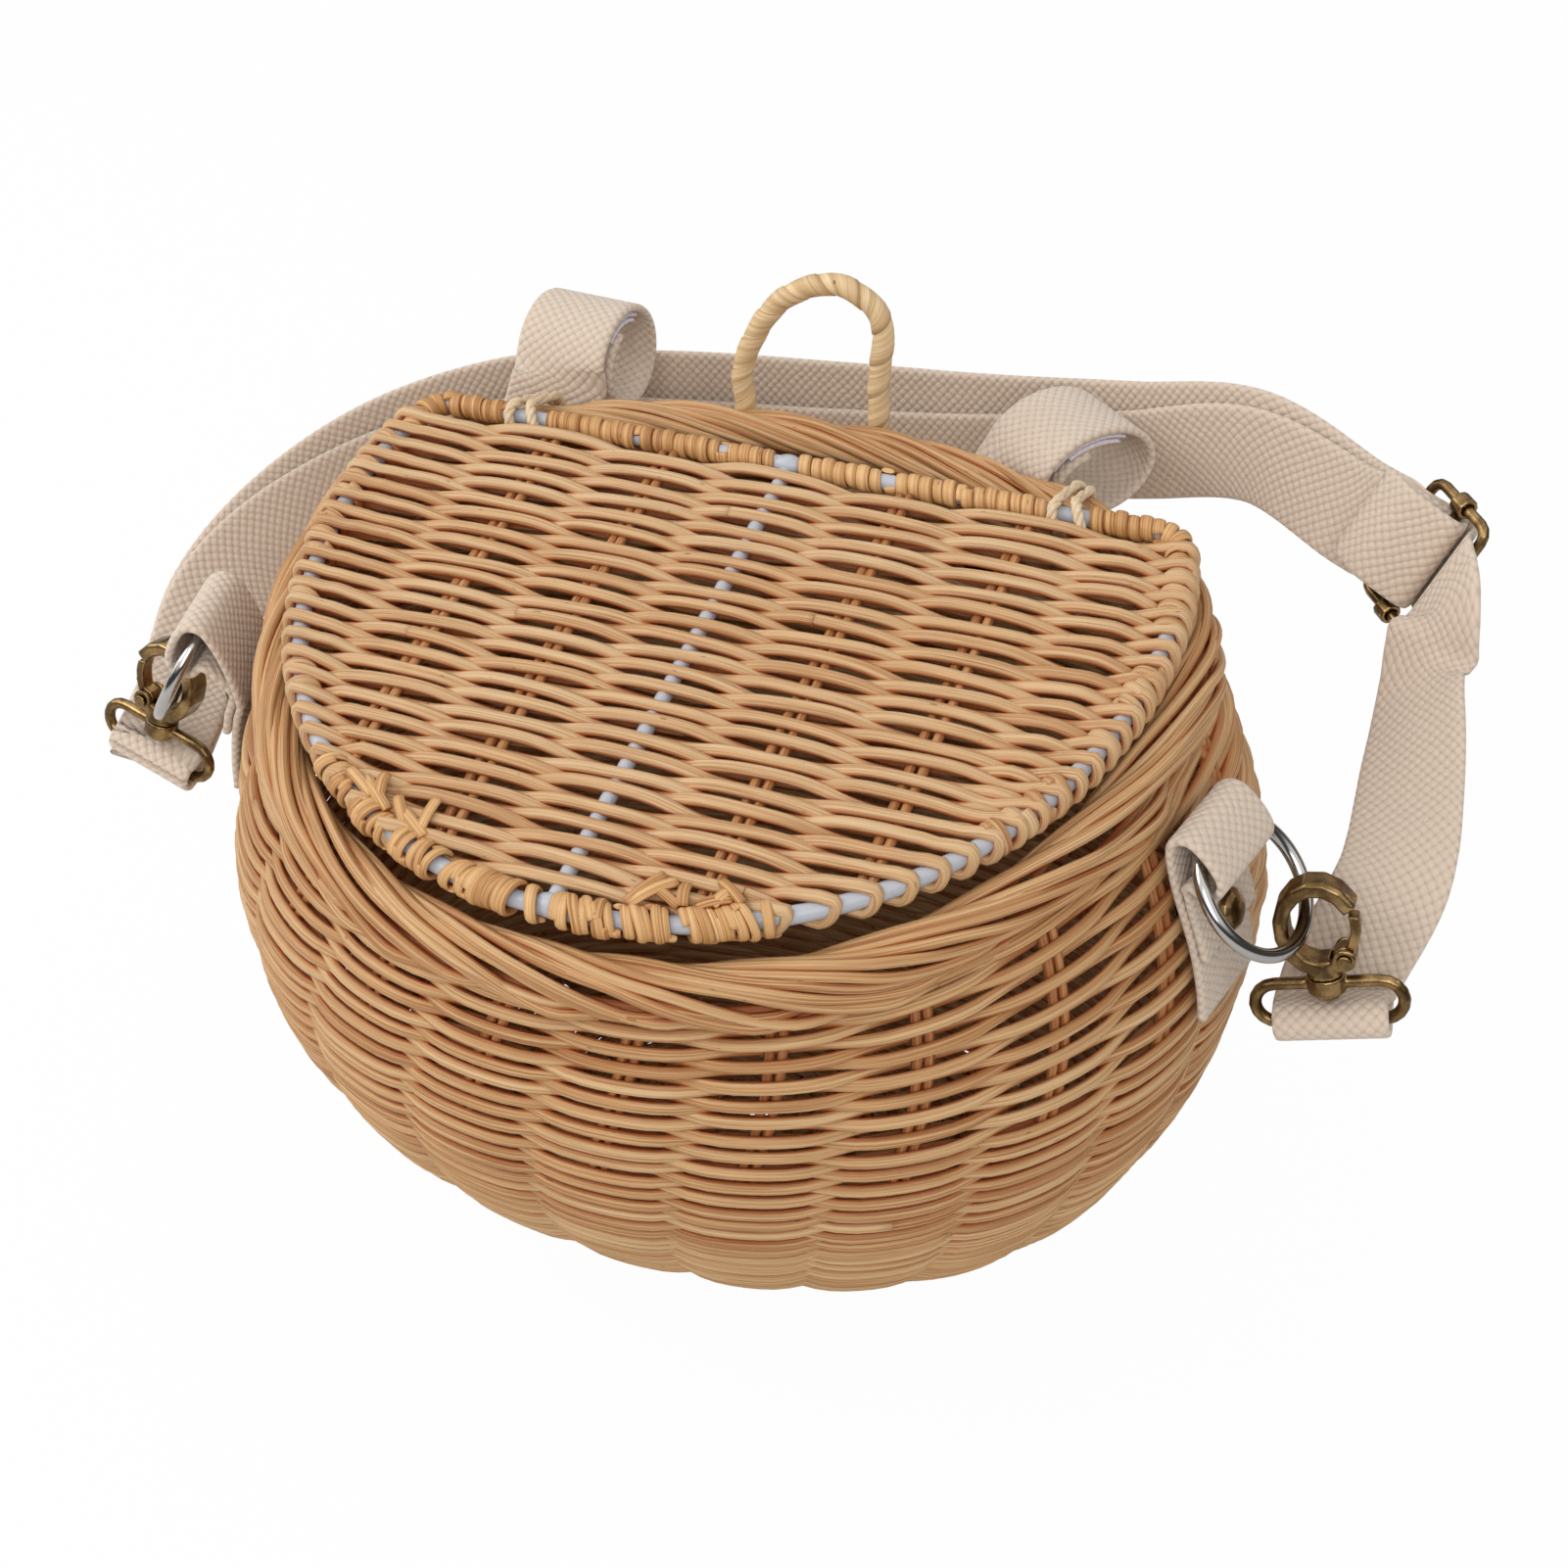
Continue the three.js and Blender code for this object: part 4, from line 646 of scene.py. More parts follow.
def wide_coil(line, radius, pitch, width, thick):
    """A wide strip that hugs the rod it is wound on, one edge over the edge of the turn before."""
    s, angle, at = wound(line, 0.4, pitch, 40, (0, 1, 0.001))
    girth = 2 * math.pi * radius
    slant = math.hypot(girth, pitch)

    def row(share, lift):
        return at(s + share * width * girth / slant, angle - share * width * pitch / slant / radius, lift)[0]

    shares = np.linspace(-0.5, 0.5, 7)
    outside = [row(share, radius + thick * (0.75 + 0.5 * share) - 0.18 * thick * abs(2 * share) ** 6)
               for share in shares]
    rings = np.stack([*outside, *[row(share, radius - 0.2) for share in shares[::-1]]], 1)
    return rings, run_length(rings[:, 3]), chance.random(), False


straw = rattan("straw_strip", srgb(188, 154, 108), srgb(218, 189, 145), srgb(234, 212, 174), streaks=0.8)
arch_line = handle_line()
core = swept("handle_rod", [tube(arch_line, HANDLE_CORE - 0.5, sides=12)], stake_rattan)
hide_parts("handle_core")
strip = wide_coil(arch_line[6:-6], HANDLE_CORE / 2 - 0.1, STRIP_PITCH, STRIP_WIDTH, STRIP_THICK)
wrap = swept("handle_strip", [strip], straw)
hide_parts("handle_wrap")

# Handlebar straps: cotton webbing riveted under the border at the back and rolled into a loop,
# which closes on itself with hook-and-loop tape.
WEBBING_WIDTH = 25.0
WEBBING = 2.0
OUTSIDE_SEAT = 1.3 + 2.7 + WEBBING / 2
TURN_STEP = 5.1
LOOP_POINTS = 64
BAR_RIVET_LEVEL = 1.66
TAPE_WIDTH = 23
TAPE = 1.1
BAND_FINER = 3
BAND_STEPS = 14
KNOB_LENGTH = 0.0025
KNOB_ROW = 0.0014
UP = np.array([0.0, 0.0, 1.0])


def band(points, edges, width=WEBBING_WIDTH, thick=WEBBING):
    """A flat strip along points, its across direction given, with rounded edges."""
    points = np.asarray(points, float)
    edges = np.broadcast_to(np.asarray(edges, float), (len(points), 3))
    places = np.linspace(0, 1, BAND_FINER * (len(points) - 1) + 1)
    line = smooth_line(points, places)
    edge = between(places, np.linspace(0, 1, len(points)), edges)
    along = unit(np.gradient(line, axis=0))
    across = unit(edge - along * np.sum(edge * along, -1, keepdims=True))
    face = np.cross(along, across)
    run = np.linspace(-1, 1, BAND_STEPS)
    side = width / 2 - thick / 2
    arc = np.linspace(math.pi / 2, -math.pi / 2, 5)[1:-1]
    top = [(x * side, thick / 2) for x in run]
    edge_right = [(side + thick / 2 * math.cos(a), thick / 2 * math.sin(a)) for a in arc]
    under = [(-x * side, -thick / 2) for x in run]
    edge_left = [(-side - thick / 2 * math.cos(a), -thick / 2 * math.sin(a)) for a in arc]
    section = np.array([*top, *edge_right, *under, *edge_left])[::-1]
    rings = (line[:, None, :] + across[:, None, :] * section[None, :, :1]
             + face[:, None, :] * section[None, :, 1:])
    return rings, run_length(line), section[:, 0], line


def webbing_piece(name, strip, finish):
    """A flat strip as a mesh. Its UV map is length along and place across, in metres."""
    rings, lengths, places, _ = strip
    n, s = rings.shape[:2]
    i, j = np.meshgrid(np.arange(n - 1), np.arange(s), indexing="ij")
    beside = (j + 1) % s
    quads = np.stack([i * s + j, i * s + beside, (i + 1) * s + beside, (i + 1) * s + j], -1)
    u, v = lengths * MM, places * MM
    uv = np.stack([u[i], v[j], u[i], v[beside], u[i + 1], v[beside], u[i + 1], v[j]], -1)
    faces, uvs = quads.reshape(-1, 4).tolist(), [uv.reshape(-1, 2)]
    for ring, flip in ((0, -1), (n - 1, 1)):
        order = np.arange(s)[::flip]
        faces.append((ring * s + order).tolist())
        uvs.append(np.column_stack([np.full(s, u[ring]), v[order]]))
    smooth = [len(f) == 4 for f in faces]
    return new_piece(name, [rings.reshape(-1, 3)], faces, uvs, smooth, finish, "basket")


def cotton_webbing(name, tint, shadow):
    """Thick cotton webbing: plump oval knobs in offset rows, with a soft fuzzy face."""
    material, shade, shader = new_finish(name)
    along, across = strip_places(shade)
    wander = shade.noise(shade.vector(along * 120, across * 120, 0.0), detail=2) - 0.5
    a = (along * (2 * math.pi / KNOB_LENGTH) + wander * 3.0).cos()
    b = (across * (math.pi / KNOB_ROW) + wander * 2.0).cos()
    knob = shade.math("MAXIMUM", (1 + a) * (1 + b), (1 - a) * (1 - b)) * 0.25
    hill = shade.math("POWER", knob * 0.8 + (a + b).abs() * 0.1, 0.6)
    fuzz = shade.noise(shade.vector(along * 2600, across * 2600, 0.0), detail=3, roughness=0.7)
    tone = shade.noise(shade.vector(along * 40, across * 40, 3.0), detail=3)
    colour = shade.mix(hill.part(0.08, 0.6), shadow, tint)
    colour = shade.mix((tone - 0.35) * 0.5, colour, darker(tint, 0.86))
    colour = shade.mix(fuzz.part(0.55, 0.85) * 0.25, colour, srgb(242, 232, 216))
    fleck = shade.noise(shade.vector(along * 700, across * 1500, 7.0), detail=1).part(0.77, 0.81)
    colour = shade.mix(fleck * 0.6, colour, srgb(150, 116, 84))
    feed(shade, shader, Base_Color=colour, Roughness=fuzz * 0.1 + 0.84,
         Normal=shade.bump(hill + fuzz * 0.25, 0.0006, 0.75))
    shader.inputs["Specular IOR Level"].default_value = 0.15
    shader.inputs["Sheen Weight"].default_value = 0.25
    shader.inputs["Sheen Roughness"].default_value = 0.6
    return material


def fuzzy_tape(name, tint):
    """Hook-and-loop tape: a close nap with a faint ribbed ground."""
    material, shade, shader = new_finish(name)
    place = shade.node("UVMap", {"uv_map": "UVMap"})
    nap = shade.noise(place, scale=1500, detail=3, roughness=0.7)
    rib = shade.noise(place, scale=260, detail=2)
    colour = shade.mix(nap.part(0.35, 0.7), darker(tint, 0.72), tint)
    feed(shade, shader, Base_Color=colour, Normal=shade.bump(nap * 0.7 + rib * 0.4, 0.0006, 0.7))
    shader.inputs["Roughness"].default_value = 0.92
    return material


cotton = cotton_webbing("cotton_webbing", srgb(207, 189, 171), srgb(192, 169, 147))
tape_finish = fuzzy_tape("hook_and_loop", srgb(226, 217, 224))
loops = {"left": (-72.0, np.array([-71.0, 68.0, 184.5]), math.radians(4), 15.5, 15.5),
         "right": (46.0, np.array([56.0, 76.0, 174.0]), math.radians(38), 18.0, 13.5)}
for side, (rivet_x, middle, yaw, half_depth, half_height) in loops.items():
    away = np.array([math.sin(yaw), math.cos(yaw), 0])
    along_bar = np.cross(UP, away)
    where = back_place(rivet_x, 0.5, 1)

    def loop_point(degrees, out=0.0):
        angle = math.radians(degrees)
        rolled = out - TURN_STEP * (180 - degrees) / 360
        return (middle + away * (half_depth + rolled) * math.cos(angle)
                + UP * (half_height + rolled) * math.sin(angle))

    tail = [wall(where - STAKE_LEAN * (level - BAR_RIVET_LEVEL), level, np.array(OUTSIDE_SEAT))
            for level in (1.5, BAR_RIVET_LEVEL, 1.76)]
    turns = [loop_point(180 - 18 * i) for i in range(25)]
    shares = np.linspace(0, 1, LOOP_POINTS)
    line = smooth_line([*tail, *turns], shares)
    on_wall = wall_normal(where, BAR_RIVET_LEVEL)[1]
    blend = np.clip((shares / (4 / 27) - 0.5) * 2, 0, 1)[:, None]
    strip = band(line, on_wall * (1 - blend) + along_bar * blend)
    strap = webbing_piece(f"handlebar_strap_{side}", strip, cotton)
    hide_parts(f"bar_strap_{side}")
    seat = WEBBING / 2 + 0.8
    for kind, span, out in (("hook", (150, 60), -seat), ("loop", (130 - 360, 65 - 360), seat)):
        points = [loop_point(span[0] + (span[1] - span[0]) * i / 11, out) for i in range(12)]
        strip = band(points, along_bar, TAPE_WIDTH, TAPE)
        tape = webbing_piece(f"{kind}_tape_face_{side}", strip, tape_finish)
        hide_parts(f"{kind}_tape_{side}")

# Rivets and washers: antique brass, one pair for each webbing strap. The domed head presses on the
# webbing outside the bowl, and the flat washer spreads its pull inside the wall.
RIVET_VOXEL = 0.22
WASHER_ROUNDS = 3


def antique_metal(name, dark, bright):
    """Antique brass: a dark patina, rubbed bright in patches, with fine casting grain."""
    material, shade, shader = new_finish(name)
    place = shade.node("TexCoord", out="Object")
    patina = shade.noise(place, scale=210, detail=4, roughness=0.6)
    grain = shade.noise(place, scale=2400, detail=2)
    rub = shade.node("NewGeometry", out="Pointiness").part(0.5, 0.6)
    share = patina.part(0.35, 0.75) * 0.5 + rub * 0.6 + 0.08
    feed(shade, shader, Base_Color=shade.mix(share, dark, bright),
         Roughness=0.3 - share * 0.12 + grain * 0.06,
         Normal=shade.bump(patina * 0.4 + grain * 0.2, 0.00008, 0.35))
    shader.inputs["Metallic"].default_value = 1.0
    return material


antique = antique_metal("antique_brass", srgb(72, 53, 31), srgb(196, 162, 110))


def cast_copy(node, name, body, voxel, rounds=8):
    """A finer, rounded copy of a brass piece, at the place of its solid. The voxel is in mm."""
    bpy.ops.object.select_all(action="DESELECT")
    made = bpy.data.objects.new(name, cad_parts[node].data.copy())
    scene.collection.objects.link(made)
    made.select_set(True)
    bpy.context.view_layer.objects.active = made
    bpy.ops.object.mode_set(mode="EDIT")
    bpy.ops.mesh.select_all(action="SELECT")
    bpy.ops.mesh.remove_doubles(threshold=0.00002)
    bpy.ops.object.mode_set(mode="OBJECT")
    remesh = made.modifiers.new("fine", "REMESH")
    remesh.mode = "VOXEL"
    remesh.voxel_size = voxel * MM
    bpy.ops.object.modifier_apply(modifier="fine")
    soften = made.modifiers.new("ease", "SMOOTH")
    soften.factor = 0.5
    soften.iterations = rounds
    bpy.ops.object.modifier_apply(modifier="ease")
    bpy.ops.object.shade_smooth()
    made.data.materials.clear()
    made.data.materials.append(antique)
    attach(made, body)
    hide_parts(node)
    return made


for side in ("left", "right"):
    for kind in ("tab", "bar"):
        cast_copy(f"{kind}_rivet_{side}", f"{kind}_rivet_head_{side}", "basket", RIVET_VOXEL)
        cast_copy(f"{kind}_washer_{side}", f"{kind}_washer_disc_{side}", "basket", RIVET_VOXEL, WASHER_ROUNDS)

# Side tabs: short straps of the same cotton webbing, one at each end of the bowl. Each is folded
# round a ring, laid back on itself and riveted through the wall.
RING_RADIUS = 15.5
RING_WIRE = 3.2
RING_PLAY = 1.5
TAB_LEVEL = 1.5
ROLL_LEVEL = 1.88
HOOK_LEAN, HOOK_TIP, HOOK_YAW = (math.radians(a) for a in (14, 12, 20))
HOOK_DROP = 14.3
HOOK_ASIDE = 3
EYE_DROP = 9.5
tabs = {"left": (9.5, 17.0, math.radians(60)), "right": (19.4, 9.0, math.radians(45))}
chord_rise = (RING_RADIUS - math.sqrt(RING_RADIUS ** 2 - (WEBBING_WIDTH / 2) ** 2)) / 2


def tab_frame(side):
    """Directions and places shared by a side's tab, ring, hook and eye."""
    where, reach, drop = tabs[side]
    _, along = wall_normal(where, TAB_LEVEL)
    normal = np.cross(along, UP)
    rolled = bowl(where - STAKE_LEAN * (ROLL_LEVEL - TAB_LEVEL), ROLL_LEVEL)
    roll_at = rolled + normal * (OUTSIDE_SEAT + reach)
    outward = normal * math.cos(drop) - UP * math.sin(drop)
    above = normal * math.sin(drop) + UP * math.cos(drop)
    rear = along * np.sign(along[1])
    level = normal * math.cos(HOOK_YAW) + rear * math.sin(HOOK_YAW)
    level_back = rear * math.cos(HOOK_YAW) - normal * math.sin(HOOK_YAW)
    hook_across = level * math.cos(HOOK_LEAN) + UP * math.sin(HOOK_LEAN)
    plumb = UP * math.cos(HOOK_LEAN) - level * math.sin(HOOK_LEAN)
    hook_up = plumb * math.cos(HOOK_TIP) + level_back * math.sin(HOOK_TIP)
    hook_back = level_back * math.cos(HOOK_TIP) - plumb * math.sin(HOOK_TIP)
    ring_middle = roll_at + outward * (RING_RADIUS - chord_rise)
    held = ring_middle + outward * RING_RADIUS * math.cos(HOOK_YAW) + rear * RING_RADIUS * math.sin(HOOK_YAW)
    swivel = held - hook_up * HOOK_DROP + hook_across * HOOK_ASIDE
    return {"along": along, "roll": roll_at, "outward": outward, "above": above, "ring": ring_middle,
            "eye_bar": swivel - hook_up * EYE_DROP, "hook_up": hook_up, "hook_across": hook_across,
            "hook_back": hook_back}


for side in tabs:
    shape = tab_frame(side)
    round_wire = RING_WIRE / 2 + RING_PLAY + WEBBING / 2

    def on_tab(level, layer=0.0):
        out = OUTSIDE_SEAT + layer * (WEBBING + 0.3)
        return wall(tabs[side][0] - STAKE_LEAN * (level - TAB_LEVEL), level, np.array(out))

    def over_ring(share, degrees):
        angle = math.radians(degrees)
        return (shape["roll"] + shape["outward"] * (share * chord_rise + round_wire * math.cos(angle))
                + shape["above"] * round_wire * math.sin(angle))

    points = [on_tab(1.12), on_tab(1.24), on_tab(1.4), on_tab(1.5), on_tab(1.57), over_ring(-1, 200),
              over_ring(-1, 140), over_ring(-1, 90), over_ring(1, 90), over_ring(1, 45), over_ring(1, 0),
              over_ring(1, -45), over_ring(1, -90), on_tab(1.61, 1.05), on_tab(1.5, 1), on_tab(1.41, 1)]
    line = smooth_line(points, np.linspace(0, 1, 31))
    tab = webbing_piece(f"side_tab_{side}", band(line, shape["along"]), cotton)
    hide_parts(f"tab_{side}")

# Rings: bright nickel-plated steel wire, bent round and welded shut. They hang loose in the folds
# of the side tabs, and the claw hooks clip on them.
RING_SHOWN = 3.25


def bright_metal(name, tint, roughness):
    material, shade, shader = new_finish(name)
    place = shade.node("TexCoord", out="Object")
    smear = shade.noise(place, scale=300, detail=3)
    feed(shade, shader, Base_Color=shade.mix(smear * 0.3, tint, darker(tint, 0.8)),
         Roughness=smear * 0.12 + roughness)
    shader.inputs["Metallic"].default_value = 1.0
    return material


nickel = bright_metal("nickel", srgb(178, 176, 174), 0.07)
for side in tabs:
    shape = tab_frame(side)
    bpy.ops.object.select_all(action="DESELECT")
    turned = Vector(shape["above"]).to_track_quat("Z", "Y").to_euler()
    bpy.ops.mesh.primitive_torus_add(location=Vector(shape["ring"]) * MM, rotation=turned, major_segments=96,
                                     minor_segments=24, major_radius=RING_RADIUS * MM,
                                     minor_radius=RING_SHOWN / 2 * MM)
    made = bpy.context.object
    made.name = f"nickel_ring_{side}"
    bpy.ops.object.transform_apply(location=True, rotation=True, scale=True)
    bpy.ops.object.shade_smooth()
    made.data.materials.append(nickel)
    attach(made, f"ring_{side}")
    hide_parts(f"ring_{side}")

# Claw hooks: cast antique brass claws that clip on the rings. Each has a sprung gate on a riveted
# pin, and a headed post that turns in the oblong eye, which takes the webbing.
HOOK_VOXEL = 0.24
HOOK_ROUNDS = 18
spring_steel = bright_metal("spring_steel", srgb(150, 150, 152), 0.25)
hardware = []
for side in tabs:
    for node, name, body in ((f"hook_body_{side}", f"claw_{side}", f"hook_{side}"),
                             (f"gate_pin_{side}", f"claw_pin_{side}", f"hook_{side}"),
                             (f"hook_gate_{side}", f"claw_gate_{side}", f"gate_{side}"),
                             (f"swivel_eye_{side}", f"oblong_eye_{side}", "basket")):
        hardware.append(cast_copy(node, name, body, HOOK_VOXEL, HOOK_ROUNDS))
    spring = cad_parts[f"gate_spring_{side}"].data
    spring.materials.clear()
    spring.materials.append(spring_steel)

# Slider: an antique brass wire frame and a bar with two collars. The webbing goes over the frame
# and round the bar, which sets the strap's length.
for node, name in (("slider_frame", "slider_wire"), ("slider_bar", "slider_crossbar")):
    hardware.append(cast_copy(node, name, "basket", HOOK_VOXEL))

# Shoulder strap: one length of cotton webbing. It is sewn round the right eye, goes through the slider,
# round the back to the left eye, and returns to the slider's bar, where it is sewn to itself.
STRAP_ROUTE = [(-155.5, -14, 114), (-160, 12, 126), (-152, 41, 138), (-132, 64, 150), (-97, 81, 160),
               (-57, 91, 162.5), (-16, 97, 163.5), (26, 100, 165.5), (66, 99.5, 170.5), (98, 92, 177.5),
               (126, 79, 171)]
STRAP_EDGE = [(-0.95, 0.1, 0.3), (-0.8, -0.15, 0.6), (-0.55, -0.25, 0.8), (-0.25, -0.15, 0.95),
              *[(0, 0, 1)] * 5, (0.05, 0.1, 1), (0.28, 0.28, 0.9)]
SLIDER_AT = np.array([144.5, 66, 169])
RIGHT_RUN = [(155.5, -8, 133), (153.5, 18, 144.5), (150.5, 40, 155)]
RIGHT_EDGE = [(0.92, 0.25, 0.25), (0.8, 0.2, 0.5), (0.5, 0.25, 0.8)]
SLIDER_REACH = 10.5
SLIDER_RADIUS = 1.4
SLIDER_PLAY = 0.3
EYE_RADIUS = 1.5
EYE_PLAY = 0.8
LAYER_GAP = 0.8
LAYER = (WEBBING + LAYER_GAP) / 2
slider_along = unit(np.array([0.66, -0.73, -0.12]))
slider_edge = np.array([0.41, 0.23, 0.88])
slider_across = unit(slider_edge - slider_along * slider_edge.dot(slider_along))
slider_face = np.cross(slider_along, slider_across)


def at_slider(along, face, across=0.0):
    """Place near the slider: along the strap, off its face and across it."""
    return SLIDER_AT + slider_along * along + slider_face * face + slider_across * across


def slider_turn(along, radius, start, end, steps):
    """Part of a turn round one of the slider's bars, in degrees."""
    angles = np.radians(np.linspace(start, end, steps + 1))
    return [at_slider(along + radius * math.cos(a), radius * math.sin(a)) for a in angles]


def stations(points, edges):
    """Points of a flat strip, with its across and face directions."""
    points = np.asarray(points, float)
    ends = np.concatenate([points[:1], points, points[-1:]])
    along = unit(ends[2:] - ends[:-2])
    edges = np.asarray(edges, float)
    across = unit(edges - along * np.sum(edges * along, -1, keepdims=True))
    return points, across, np.cross(along, across)


def round_eye(side, degrees):
    """Places on the strap's turn round the bar of an eye."""
    shape = tab_frame(side)
    turn_radius = EYE_RADIUS + EYE_PLAY + WEBBING / 2
    return [shape["eye_bar"] + shape["hook_up"] * turn_radius * math.sin(math.radians(d))
            + shape["hook_back"] * turn_radius * math.cos(math.radians(d)) for d in degrees]


past = SLIDER_RADIUS + SLIDER_PLAY + WEBBING / 2
apart = WEBBING + LAYER_GAP
hump = past + apart
steep = math.degrees(math.asin((past + hump) / SLIDER_REACH))
spread_angle = math.degrees(math.acos((hump + apart + SLIDER_PLAY - past) / SLIDER_REACH))
places = np.linspace(0, 1, 51)
doubled = [part[:-2] for part in stations(
    smooth_line([*STRAP_ROUTE, at_slider(-SLIDER_REACH, past + apart / 2)], places),
    smooth_line([*STRAP_EDGE, slider_across], places))]
left_edge = tab_frame("left")["hook_across"]
right_edge = tab_frame("right")["hook_across"]

sewn = round_eye("right", [-90, -120, -150, 180, 150, 120, 90])
places = np.linspace(0, 1, 19)
climb = smooth_line([sewn[6], sewn[6] + tab_frame("right")["hook_back"] * 9, *RIGHT_RUN,
                     at_slider(SLIDER_REACH + 8, past + 3.2, -3),
                     at_slider(SLIDER_REACH, past + 0.5)], places)
climb_edges = smooth_line([right_edge, right_edge, *RIGHT_EDGE, slider_across, slider_across], places)
lifted = [part[3:6] for part in stations(climb, climb_edges)]
tail = [p + f * (apart + SLIDER_PLAY + LAYER_GAP * (1 - i / 3))
        for i, (p, _, f) in enumerate(zip(*lifted))][::-1]
over = [*slider_turn(SLIDER_REACH, past, 90, 90 + steep, 3)[1:],
        *slider_turn(0, hump, steep - 90, -90 - steep, 5),
        *slider_turn(-SLIDER_REACH, past, 90 - steep, 95, 3)]
outer_layer = list((doubled[0] - doubled[2] * LAYER)[::-1])
left_end = round_eye("left", [-90, -120, -150, -174])
main_points = [*tail, *sewn[:-1], *climb, *over, *outer_layer, *left_end]
main_edges = [*lifted[1][::-1], *[right_edge] * 6, *climb_edges, *[slider_across] * len(over),
              *doubled[1][::-1], *[left_edge] * 4]

sag = np.sin(math.pi * np.arange(len(doubled[0])) / (len(doubled[0]) - 1)) ** 2
drop = (1.5 + 11 * sag) * doubled[1][:, 2] ** 2
inner_layer = doubled[0] - doubled[1] * drop[:, None] + doubled[2] * (LAYER + sag)[:, None]
into = [*slider_turn(-SLIDER_REACH, hump, 95, 90 - steep, 3),
        *slider_turn(0, past, -90 - steep, spread_angle, 8),
        *slider_turn(-SLIDER_REACH, hump + apart + SLIDER_PLAY, spread_angle, 95, 2),
        at_slider(-SLIDER_REACH - 6, hump + apart + 0.6)]
return_points = [*round_eye("left", [174, 150, 120, 90]), *inner_layer, *into]
return_edges = [*[left_edge] * 4, *doubled[1], *[slider_across] * len(into)]

for name, points, edges, node in (("shoulder_strap", main_points, main_edges, "strap_main"),
                                  ("shoulder_strap_return", return_points, return_edges, "strap_return")):
    strip = band(points, edges)
    strap = webbing_piece(name, strip, cotton)
    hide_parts(node)
    line = strip[3]
    tuple(line[0] * MM)
    (line * MM).tolist()
    hardware if node == "strap_main" else ()

# Lid, its wire frame: steel wire painted pale grey and bent to a D, with a centre wire welded in from
# the hinge bar to the front. The straight side of the D is the bar on which the lid turns.
LID_HINGE_HALF = 96.0
LID_HALF_WIDTH = 100.0
LID_WIDEST = 32.0
LID_DEPTH = 137.0
LID_POWER = 2.05
LID_CORNER = 6.0
LID_WIRE = 4.0
CENTRE_WIRE = 3.6
HINGE_Z = 187.0


def on_lid(x, depth, height=0.0):
    """Place over the lid's plane: across, forward from the hinge, and up from it."""
    x, depth, height = np.broadcast_arrays(*(np.asarray(v, float) for v in (x, depth, height)))
    c, s = math.cos(LID_SLOPE), math.sin(LID_SLOPE)
    return np.stack([x, HINGE_Y - depth * c - height * s, HINGE_Z - depth * s + height * c], -1)


LID_UP = np.array([0, -math.sin(LID_SLOPE), math.cos(LID_SLOPE)])


def lid_half(depth):
    """Half the lid's width at a depth."""
    depth = np.asarray(depth, float)
    side = np.clip((depth - LID_CORNER) / (LID_WIDEST - LID_CORNER), 0, 1)
    narrow = LID_HINGE_HALF + (LID_HALF_WIDTH - LID_HINGE_HALF) * (1 - (1 - side) ** 2)
    share = np.clip((depth - LID_WIDEST) / (LID_DEPTH - LID_WIDEST), 0, 1)
    return np.where(depth < LID_WIDEST, narrow, LID_HALF_WIDTH * (1 - share ** LID_POWER) ** (1 / LID_POWER))


def lid_front(x):
    """Depth of the lid's front edge at a place across."""
    share = np.abs(x) / LID_HALF_WIDTH
    return LID_WIDEST + (LID_DEPTH - LID_WIDEST) * (1 - share ** LID_POWER) ** (1 / LID_POWER)


def wire_paint(name, tint):
    """Pale grey paint on wire: smooth, a little uneven, with a few rubbed spots."""
    material, shade, shader = new_finish(name)
    place = shade.node("TexCoord", out="Object")
    uneven = shade.noise(place, scale=160, detail=3)
    rubbed = shade.noise(place, scale=420, detail=2).part(0.68, 0.76)
    colour = shade.mix(uneven * 0.35, tint, darker(tint, 0.8))
    colour = shade.mix(rubbed * 0.5, colour, srgb(150, 140, 130))
    feed(shade, shader, Base_Color=colour, Roughness=uneven * 0.2 + 0.28,
         Normal=shade.bump(uneven, 0.0002, 0.4))
    return material


grey_paint = wire_paint("grey_paint", srgb(176, 179, 186))
corner = np.radians(np.linspace(-90, 0, 7))
corner_x = LID_HINGE_HALF - LID_CORNER + LID_CORNER * np.cos(corner)
corner_d = LID_CORNER + LID_CORNER * np.sin(corner)
side_d = np.linspace(LID_CORNER, LID_WIDEST, 12)[1:-1]
front_angle = np.linspace(0, math.pi / 2, 40)
front_x = LID_HALF_WIDTH * np.cos(front_angle) ** (2 / LID_POWER)
front_d = LID_WIDEST + (LID_DEPTH - LID_WIDEST) * np.sin(front_angle) ** (2 / LID_POWER)
bar_x = np.linspace(0, LID_HINGE_HALF - LID_CORNER, 20)[1:-1]
half_x = np.concatenate([bar_x, corner_x, lid_half(side_d), front_x])
half_d = np.concatenate([np.zeros(len(bar_x)), corner_d, side_d, front_d])
outline_x = np.concatenate([half_x, -half_x[::-1][1:]])
outline_d = np.concatenate([half_d, half_d[::-1][1:]])
frame_line = on_lid(outline_x, outline_d)
centre_line = on_lid(np.zeros(30), np.linspace(0, LID_DEPTH, 30))
welds = []
for depth in (0.5, LID_DEPTH - 0.5):
    blob = on_lid(np.linspace(-4.2, 4.2, 9), np.full(9, depth), 0.3)
    welds.append(tube(blob, [0.4, 3.4, 4.6, 5.2, 5.5, 5.2, 4.6, 3.4, 0.4], sides=10))
wire = swept("lid_wire", [tube(frame_line, LID_WIRE, up=LID_UP, sides=14, closed=True),
                          tube(centre_line, CENTRE_WIRE, up=LID_UP, sides=12), *welds], grey_paint, "lid")
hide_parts("lid_wire_frame")

